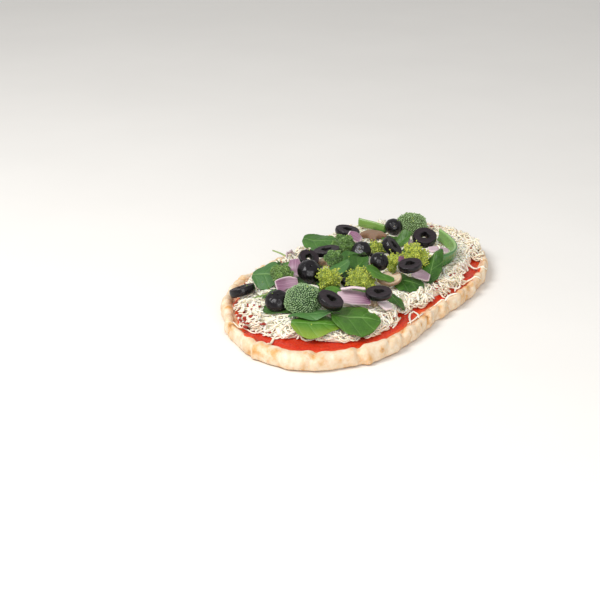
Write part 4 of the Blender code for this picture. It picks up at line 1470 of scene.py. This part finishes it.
def mushroom_solid(name, seed):
    """A slice through cap and stem: rings of one outline that shrink toward its middle, on both sides,
    rounded at the edge. The outline is half an ellipse over a short stem."""
    pose, own, _ = slab_pose(name)
    wide = np.ptp(own[:, 0])
    tall = np.ptp(own[:, 1])
    flip = -1 if own[:, 1].max() > -own[:, 1].min() else 1
    arch = [(0.5 * wide * cos(a), tall * (0.38 + 0.62 * sin(a)), 1) for a in np.linspace(0, pi, 24)]
    lip = [(-0.46 * wide, 0.3 * tall, 1), (-0.2 * wide, 0.36 * tall, 0), (-0.13 * wide, 0.26 * tall, 0)]
    stem = [(-0.12 * wide, 0, 0)]
    corners = arch + lip + stem + [(-x, y, k) for x, y, k in reversed(lip + stem)]
    x, y, cap = closed_profile(corners, 110, 1.1)
    share = np.array([0.03, 0.25, 0.45, 0.62, 0.76, 0.86, 0.92, 0.96, 0.985, 1.0])
    middle_y = 0.45 * tall
    half = MUSHROOM_THICKNESS / 2 * np.sqrt(1 - np.clip((share - 0.86) / 0.14, 0, 1) ** 2)
    share = np.concatenate([share, share[-2::-1]])[:, None]
    half = np.concatenate([half, -half[-2::-1]])[:, None]
    grid = np.stack([x * share, (y - middle_y) * share + middle_y - 0.5 * tall, half + 0 * x], -1)
    grid[..., 2] += 0.2 * MM * noise(grid, 2.2 * MM, seed)
    under = 0.3 * tall - 0.5 * tall
    band = np.exp(-(((grid[..., 1] - under - 0.1 * tall) / (0.07 * tall)) ** 2))
    band = band * (np.abs(grid[..., 0]) > 0.14 * wide)
    rim = step(0.84, 1.0, share) * cap
    grid[..., :2] *= flip
    brown = {"mushroom_02": 0.8, "mushroom_03": 0.4, "mushroom_04": 0.3}.get(name, 0.1)
    return round_solid(grid, gill=band, rim=rim, brown=brown).placed(pose)


# --- what lies between the toppings ---


def resting(surface, xy):
    """A smooth sheet on a height map: a quadratic fitted to it at these points, raised above all of them."""
    z = surface.at(xy)
    x, y = np.moveaxis(xy - xy.mean((0, 1)), -1, 0) / (10 * MM)
    rows = np.stack([1 + 0 * x, x, y, x * x, x * y, y * y], -1)
    fit = rows @ np.linalg.lstsq(rows.reshape(-1, 6), z.ravel(), rcond=None)[0]
    return fit + (z - fit).max() + 0.15 * MM


# Small leaves: x, y, direction in degrees, length and width in millimetres, and brightness.
LEAF_SCRAPS = (
    (-38, 38, 20, 24, 14, 0.3), (14, 47, 160, 27, 15, 0.4), (42, 8, 75, 24, 14, 0.2),
    (-60, 4, 110, 24, 14, 0.3), (2, 6, -20, 26, 14, 0.3), (24, -14, 30, 22, 13, 0.3),
    (70, 10, 130, 22, 13, 0.45), (88, 34, 20, 22, 13, 0.3), (-36, -24, 60, 22, 13, 0.2),
    (-20, 50, 100, 18, 11, 0.5), (-72, 24, -30, 20, 12, 0.2), (-26, 4, 150, 24, 14, 0.3),
    (52, -14, 10, 22, 12, 0.2), (-14, 32, 60, 24, 14, 0.3), (34, 36, 200, 24, 13, 0.3),
    (-44, -2, 80, 22, 12, 0.25),
)  # fmt: skip
# Slivers of onion: x, y and direction in degrees.
ONION_SLIVERS = (
    (-22, 40, 30), (30, 40, 120), (2, 36, 75), (56, 8, 10), (-72, 22, 100), (95, 28, 60), (-26, -8, 160),
    (48, -22, 40), (18, 16, 95), (-48, -10, 20), (76, 45, 150), (-5, 58, 5), (38, 58, 170),
    (-66, -30, 50),
)  # fmt: skip
# Loose stalks: start, the place it is pulled toward, end, radius at both ends, and number of points.
STALKS = (
    ((0.5, 78, 17.5), (2, 70, 16.5), (1, 62, 14), 0.55, 0.8, 12),
    ((-86, 40, 14.5), (-74, 33, 18), (-64, 21, 18.5), 0.5, 0.9, 16),
)
# Strips of olive: x, y and direction in degrees.
OLIVE_STRIPS = (
    (-18, 12, 40), (44, 24, 130), (26, 4, 80), (-58, 48, 20), (60, 38, 100), (-38, -30, 10), (8, 14, 150),
)  # fmt: skip


def slivers(places, length, width, depth, curl, rng, **values):
    """Curved strips laid on all that lies there: an oval section along arcs, thinner at both ends."""
    spots, heading = np.array(places)[:, :2] * MM, np.radians(np.array(places)[:, 2])
    along = np.linspace(-0.5, 0.5, 14)
    bend = heading[:, None] + rng.choice((-1, 1), len(spots))[:, None] * curl * along
    ahead = np.stack([np.cos(bend), np.sin(bend)], -1) * length / 13
    paths = np.cumsum(ahead, axis=1)
    paths = spots[:, None] + paths - paths.mean(1, keepdims=True)
    bed = Bed(LAID["ground"], LAID["ceiling"])
    heights = [bed.lay(xy, depth, HeightMap(FAR), 0.8) for xy in paths]
    kept = np.array([i for i, z in enumerate(heights) if z is not None])
    z = np.array([heights[i] for i in kept])
    taper = (1 - (2 * np.abs(along)) ** 3 * 0.75) * np.ones((len(kept), 1))
    values = {key: value[kept] for key, value in values.items()}
    return strands(lifted(paths[kept], z), width * taper, depth * taper, 8, **values)


def crumb_material():
    """Bits of sauce dried on the cheese: dark red and a little glossy."""
    made, tree, shader = new_material("dried_tomato_specks", 0.4, 1.4)
    colour = layered(tree, linear("#7A1A10"), (linear("#B4351F"), grain(tree, 1.0 * MM)))
    tree.links.new(colour, shader.inputs["Base Color"])
    return made


def stem_material():
    """A spinach stalk: thin, smooth, wet and pale green."""
    made, tree, shader = new_material("spinach_stalk", 0.35, 1.42, Subsurface_Weight=0.1)
    shader.inputs["Subsurface Scale"].default_value = 1 * MM
    colour = layered(tree, linear("#6E8F45"), (linear("#A9BC7C"), grain(tree, 3 * MM)))
    tree.links.new(colour, shader.inputs["Base Color"])
    return made


# --- stage ---


def add_lamp(name, power, location, target, size):
    """A round soft lamp that looks at a point."""
    light = bpy.data.lights.new(name, "AREA")
    light.energy = power
    light.shape = "DISK"
    light.size = size
    lamp = bpy.data.objects.new(name, light)
    lamp.location = location
    lamp.rotation_euler = (Vector(target) - Vector(location)).to_track_quat("-Z", "Y").to_euler()
    bpy.context.scene.collection.objects.link(lamp)


def build_stage(look):
    """A wide pale floor, a white sky, two soft lamps and the camera."""
    made, tree, shader = new_material("matt_studio_floor", 0.8, 1.45)
    tone = add_node(tree, "MapRange", {"Value": grain(tree, 0.15), 3: 0.97, 4: 1.03}).outputs[0]
    mixed = add_node(tree, "Mix", {0: 1.0, 6: look.floor, 7: tone}, data_type="RGBA", blend_type="MULTIPLY")
    tree.links.new(mixed.outputs[2], shader.inputs["Base Color"])
    mesh = bpy.data.meshes.new("studio_floor")
    corners = [(x * FLOOR_HALF, y * FLOOR_HALF, 0) for x, y in ((-1, -1), (1, -1), (1, 1), (-1, 1))]
    mesh.from_pydata(corners, [], [(0, 1, 2, 3)])
    mesh.materials.append(made)
    floor = bpy.data.objects.new("studio_floor", mesh)
    floor.location.z = -0.05 * MM
    bpy.context.scene.collection.objects.link(floor)

    world = bpy.data.worlds.new("studio")
    world.use_nodes = True
    world.node_tree.nodes["Background"].inputs["Color"].default_value = linear("#FFFFFF")
    world.node_tree.nodes["Background"].inputs["Strength"].default_value = SKY_STRENGTH
    bpy.context.scene.world = world
    bpy.context.scene.view_settings.view_transform = "Standard"
    add_lamp("key_lamp", look.light, (-0.75, 0.35, 1.1), (0, 0, 0), 0.7)
    add_lamp("fill_lamp", 0.5 * look.light, (-0.9, -0.9, 0.7), (0, 0, 0), 0.9)

    azimuth, elevation = CAMERA_AZIMUTH, CAMERA_ELEVATION
    back = Vector((sin(azimuth) * cos(elevation), -cos(azimuth) * cos(elevation), sin(elevation)))
    camera = bpy.data.objects.new("camera", bpy.data.cameras.new("camera"))
    camera.data.lens = look.lens
    camera.data.clip_start = 0.01
    camera.location = CAMERA_AIM + back * look.distance
    camera.rotation_euler = (-back).to_track_quat("-Z", "Y").to_euler()
    bpy.context.scene.collection.objects.link(camera)
    bpy.context.scene.camera = camera


# --- operators ---


class PIZZA_OT_stage(bpy.types.Operator):
    """Sets up the floor, the lamps and the camera"""

    bl_idname = "pizza.stage"
    bl_label = "Stage"

    def execute(self, context):
        build_stage(context.scene.pizza_stage)
        return {"FINISHED"}


class PIZZA_OT_base(bpy.types.Operator):
    """Makes the baked crust and the sauce on it"""

    bl_idname = "pizza.base"
    bl_label = "Crust and sauce"

    def execute(self, context):
        scene = context.scene
        shape = CrustShape()
        crust = crust_solid(scene.pizza_crust, shape)
        add_piece("crust_baked", crust, crust_material(scene.pizza_crust), ["crust"])
        ground = HeightMap().take_solid(crust)
        edge = sauce_edge(scene.pizza_sauce, shape.angles)
        sauce = sauce_solid(shape, ground, edge)
        add_piece("sauce_spread", sauce, sauce_material(scene.pizza_sauce), ["sauce"])
        LAID["shape"] = shape
        LAID["ground"] = ground.take_solid(sauce)
        return {"FINISHED"}


class PIZZA_OT_cheese(bpy.types.Operator):
    """Makes the cheese: a packed core, the shreds on it, and loose shreds over the sauce and the rim"""

    bl_idname = "pizza.cheese"
    bl_label = "Shredded cheese"

    def execute(self, context):
        look = context.scene.pizza_cheese
        rng = np.random.default_rng(5)
        shape, ground = LAID["shape"], LAID["ground"]
        material = cheese_material(look)
        own_top = map_of("cheese")
        edge = CheeseEdge(shape)
        toppings = [name for name in NODES if name not in ("crust", "sauce", "cheese")]
        ceiling = ceiling_of(toppings)
        core = cheese_core(shape, edge, own_top, ground, ceiling)
        add_piece("cheese_core", core, material, ["cheese"])
        ground.take_solid(core)
        bed = Bed(ground, ceiling)

        pile = HeightMap()
        pile.values = np.maximum(own_top.values, ground.values + 1.0 * MM) + PILE
        box = np.array(CAD_BOX)[:, :2]
        spots = rng.uniform(box[0], box[1], (look.shreds * 4, 2))
        spots = spots[np.hypot(*spots.T) < edge.at(np.arctan2(spots[:, 1], spots[:, 0])) - 1.0 * MM]
        lengths = look.length * rng.uniform(0.5, 1.5, len(spots))
        paths = wandering(rng, spots, lengths, rng.normal(0, 1.1, len(spots)))
        paths = paths[edge.allowed(paths)][: look.shreds]
        add_piece("cheese_shreds", shredded(rng, look, paths, bed, pile), material)

        batches = [traced(LOOSE_SHREDS)]
        for most, out, spread, shortest, longest in LOOSE_BATCHES:
            angle = rng.uniform(0, tau, LOOSE_TRIES)
            spots = polar(angle, edge.at(angle) + rng.normal(out, spread, LOOSE_TRIES) * MM)
            lengths = look.length * rng.uniform(shortest, longest, LOOSE_TRIES)
            paths = wandering(rng, spots, lengths, rng.normal(0, 2.2, LOOSE_TRIES))
            batches.append(paths[edge.allowed(paths, 1.0 * MM)][:most])
        paths = np.concatenate(batches)
        stain = rng.uniform(0, 0.55, len(paths)) ** 2
        loose = shredded(rng, look, paths, bed, HeightMap(FAR), stain=stain)
        add_piece("cheese_loose_shreds", loose, material)

        reached = HeightMap()
        reached.values = np.maximum(ground.values, map_of(*toppings).values)
        LAID["ceiling"] = ceiling
        spots = np.array(WHITE_BITS) * MM
        paths = wandering(rng, spots, rng.uniform(4, 8, len(spots)) * MM, rng.normal(0, 2.0, len(spots)))
        on_top = shredded(rng, look, paths, Bed(reached, HeightMap(FAR)), HeightMap(FAR))
        add_piece("cheese_on_toppings", on_top, material)

        spots = [rng.normal((x, y), (far, far), (number, 2)) * MM for x, y, far, number, _ in SPECKS]
        large = [np.full(number, size) for *_, number, size in SPECKS]
        large = np.concatenate([*large, np.ones(STRAY_SPECKS)])
        stray = polar(rng.uniform(0, tau, STRAY_SPECKS), rng.uniform(30, 105, STRAY_SPECKS) * MM)
        spots = np.concatenate([*spots, stray])
        kept = edge.allowed(spots[:, None], 4 * MM)
        spots, large = spots[kept], large[kept, None]
        scale = np.hstack([1.4 * large, large, 0.6 * np.sqrt(large)])
        sizes = rng.uniform(0.3, 0.7, (len(spots), 3)) * MM * scale
        turn = rng.uniform(0, tau, len(spots))
        c, d, o = np.cos(turn), np.sin(turn), 0 * turn
        turns = np.moveaxis(np.array([[c, d, o], [-d, c, o], [o, o, o + 1]]), -1, 0)
        specks = scattered(ball(8, 4), lifted(spots, ground.at(spots)), sizes, turns)
        add_piece("tomato_specks", specks, crumb_material())
        return {"FINISHED"}


class ToppingOperator:
    """What the operators for toppings share: every node of their kind is replaced by a finished piece."""

    def each(self, kind, material, solid_of):
        for seed, name in enumerate(name for name in NODES if name.startswith(kind + "_")):
            piece = solid_of(name, seed)
            add_piece(name + "_finished", piece, material, [name])
            LAID["ground"].take_solid(piece)


class PIZZA_OT_spinach(bpy.types.Operator, ToppingOperator):
    """Makes the spinach leaves and their loose stalks"""

    bl_idname = "pizza.spinach"
    bl_label = "Spinach"

    def execute(self, context):
        look = context.scene.pizza_spinach
        self.each("spinach", spinach_material(look), lambda name, seed: leaf_solid(name, look, seed))
        scraps = []
        for seed, (x, y, turn, length, width, bright) in enumerate(LEAF_SCRAPS):
            ahead = np.array((cos(radians(turn)), sin(radians(turn))))
            middle, along, across = leaf_surface(
                np.array((x, y)) * MM, ahead, length * MM, width * MM,
                lambda xy: resting(LAID["ground"], xy), 20 + seed, 28, 18,
            )  # fmt: skip
            # Some small leaves take the grey, partly underside colour and partly painted sheen.
            values = {"along": along, "across": across, "bright": bright, "yellow": 0, "pale": seed % 3 / 4}
            scraps.append(thick_sheet(middle, look.thickness, LEAF_ROUNDING, **values))
        add_piece("spinach_small_leaves", joined(scraps), bpy.data.materials["raw_spinach_leaf"])
        stalks = [
            strand(bezier(start, pulled, end, count) * MM, np.linspace(thin, thick, count) * MM)
            for start, pulled, end, thin, thick, count in STALKS
        ]
        add_piece("spinach_stalks", joined(stalks), stem_material())
        return {"FINISHED"}


class PIZZA_OT_olives(bpy.types.Operator, ToppingOperator):
    """Makes the olive slices and ends"""

    bl_idname = "pizza.olives"
    bl_label = "Olives"

    def execute(self, context):
        look = context.scene.pizza_olive
        self.each("olive", olive_material(look), lambda name, seed: olive_solid(name, look, seed))
        rng = np.random.default_rng(31)
        strips = slivers(OLIVE_STRIPS, 11 * MM, 3.4 * MM, 2.6 * MM, 2.2, rng, skin=np.linspace(0.2, 1, 7))
        add_piece("olive_strips", strips, bpy.data.materials["brined_black_olive"])
        return {"FINISHED"}


class PIZZA_OT_broccoli(bpy.types.Operator, ToppingOperator):
    """Makes the broccoli florets"""

    bl_idname = "pizza.broccoli"
    bl_label = "Broccoli"

    def execute(self, context):
        look = context.scene.pizza_broccoli
        self.each("broccoli", bud_material(look), lambda name, seed: floret_solid(name, look, seed))
        rng = np.random.default_rng(32)
        centres = np.array([node_mesh(name)[0].mean(0)[:2] for name in NODES if name.startswith("broccoli")])
        spots = centres[rng.integers(0, len(centres), CRUMBS)] + rng.normal(0, 9 * MM, (CRUMBS, 2))
        sizes = look.bud_size / 2 * rng.uniform(0.7, 1.2, (CRUMBS, 1)) * (1, 1, 1.2)
        at = lifted(spots, LAID["ground"].at(spots) + 0.2 * MM)
        shade, age = rng.uniform(0.3, 1, CRUMBS), rng.choice((0.0, 0.2, 0.7), CRUMBS)
        crumbs = scattered(ball(), at, sizes, random_turns(rng, CRUMBS), shade=shade, age=age)
        add_piece("broccoli_crumbs", crumbs, bpy.data.materials["broccoli_buds"])
        return {"FINISHED"}


class PIZZA_OT_onion(bpy.types.Operator, ToppingOperator):
    """Makes the red onion pieces"""

    bl_idname = "pizza.onion"
    bl_label = "Red onion"

    def execute(self, context):
        self.each("onion", onion_material(context.scene.pizza_onion), onion_solid)
        rng = np.random.default_rng(33)
        purple = rng.uniform(0.35, 1, len(ONION_SLIVERS))
        strips = slivers(ONION_SLIVERS, 15 * MM, 1.6 * MM, 2.4 * MM, 1.6, rng, purple=purple)
        add_piece("onion_slivers", strips, bpy.data.materials["raw_red_onion"])
        return {"FINISHED"}


class PIZZA_OT_pepper(bpy.types.Operator, ToppingOperator):
    """Makes the strips of green pepper"""

    bl_idname = "pizza.pepper"
    bl_label = "Green pepper"

    def execute(self, context):
        self.each("pepper", pepper_material(context.scene.pizza_pepper), pepper_solid)
        return {"FINISHED"}


class PIZZA_OT_mushroom(bpy.types.Operator, ToppingOperator):
    """Makes the mushroom slices"""

    bl_idname = "pizza.mushroom"
    bl_label = "Mushroom"

    def execute(self, context):
        self.each("mushroom", mushroom_material(context.scene.pizza_mushroom), mushroom_solid)
        return {"FINISHED"}


class PIZZA_PT_pieces(bpy.types.Panel):
    """Lists the pizza's operators"""

    bl_label = "Vegetable Pizza"
    bl_idname = "PIZZA_PT_pieces"
    bl_space_type = "VIEW_3D"
    bl_region_type = "UI"
    bl_category = "Pizza"

    def draw(self, context):
        for operator in OPERATORS:
            self.layout.operator(operator.bl_idname)


# What one operator leaves for the next: the crust's shape, what lies so far, and the undersides over it.
LAID = {}
SETTINGS = {
    "pizza_stage": StageSettings,
    "pizza_crust": CrustSettings,
    "pizza_sauce": SauceSettings,
    "pizza_cheese": CheeseSettings,
    "pizza_olive": OliveSettings,
    "pizza_broccoli": BroccoliSettings,
    "pizza_spinach": SpinachSettings,
    "pizza_onion": OnionSettings,
    "pizza_pepper": PepperSettings,
    "pizza_mushroom": MushroomSettings,
}
OPERATORS = (
    PIZZA_OT_stage,
    PIZZA_OT_base,
    PIZZA_OT_cheese,
    PIZZA_OT_spinach,
    PIZZA_OT_olives,
    PIZZA_OT_broccoli,
    PIZZA_OT_onion,
    PIZZA_OT_pepper,
    PIZZA_OT_mushroom,
)


def register():
    for name, group in SETTINGS.items():
        bpy.utils.register_class(group)
        setattr(bpy.types.Scene, name, PointerProperty(type=group))
    for made in (*OPERATORS, PIZZA_PT_pieces):
        bpy.utils.register_class(made)


def unregister():
    for made in (PIZZA_PT_pieces, *reversed(OPERATORS)):
        bpy.utils.unregister_class(made)
    for name, group in SETTINGS.items():
        delattr(bpy.types.Scene, name)
        bpy.utils.unregister_class(group)


def main():
    register()
    for operator in OPERATORS:
        group, name = operator.bl_idname.split(".")
        getattr(getattr(bpy.ops, group), name)()


if __name__ == "__main__":
    main()
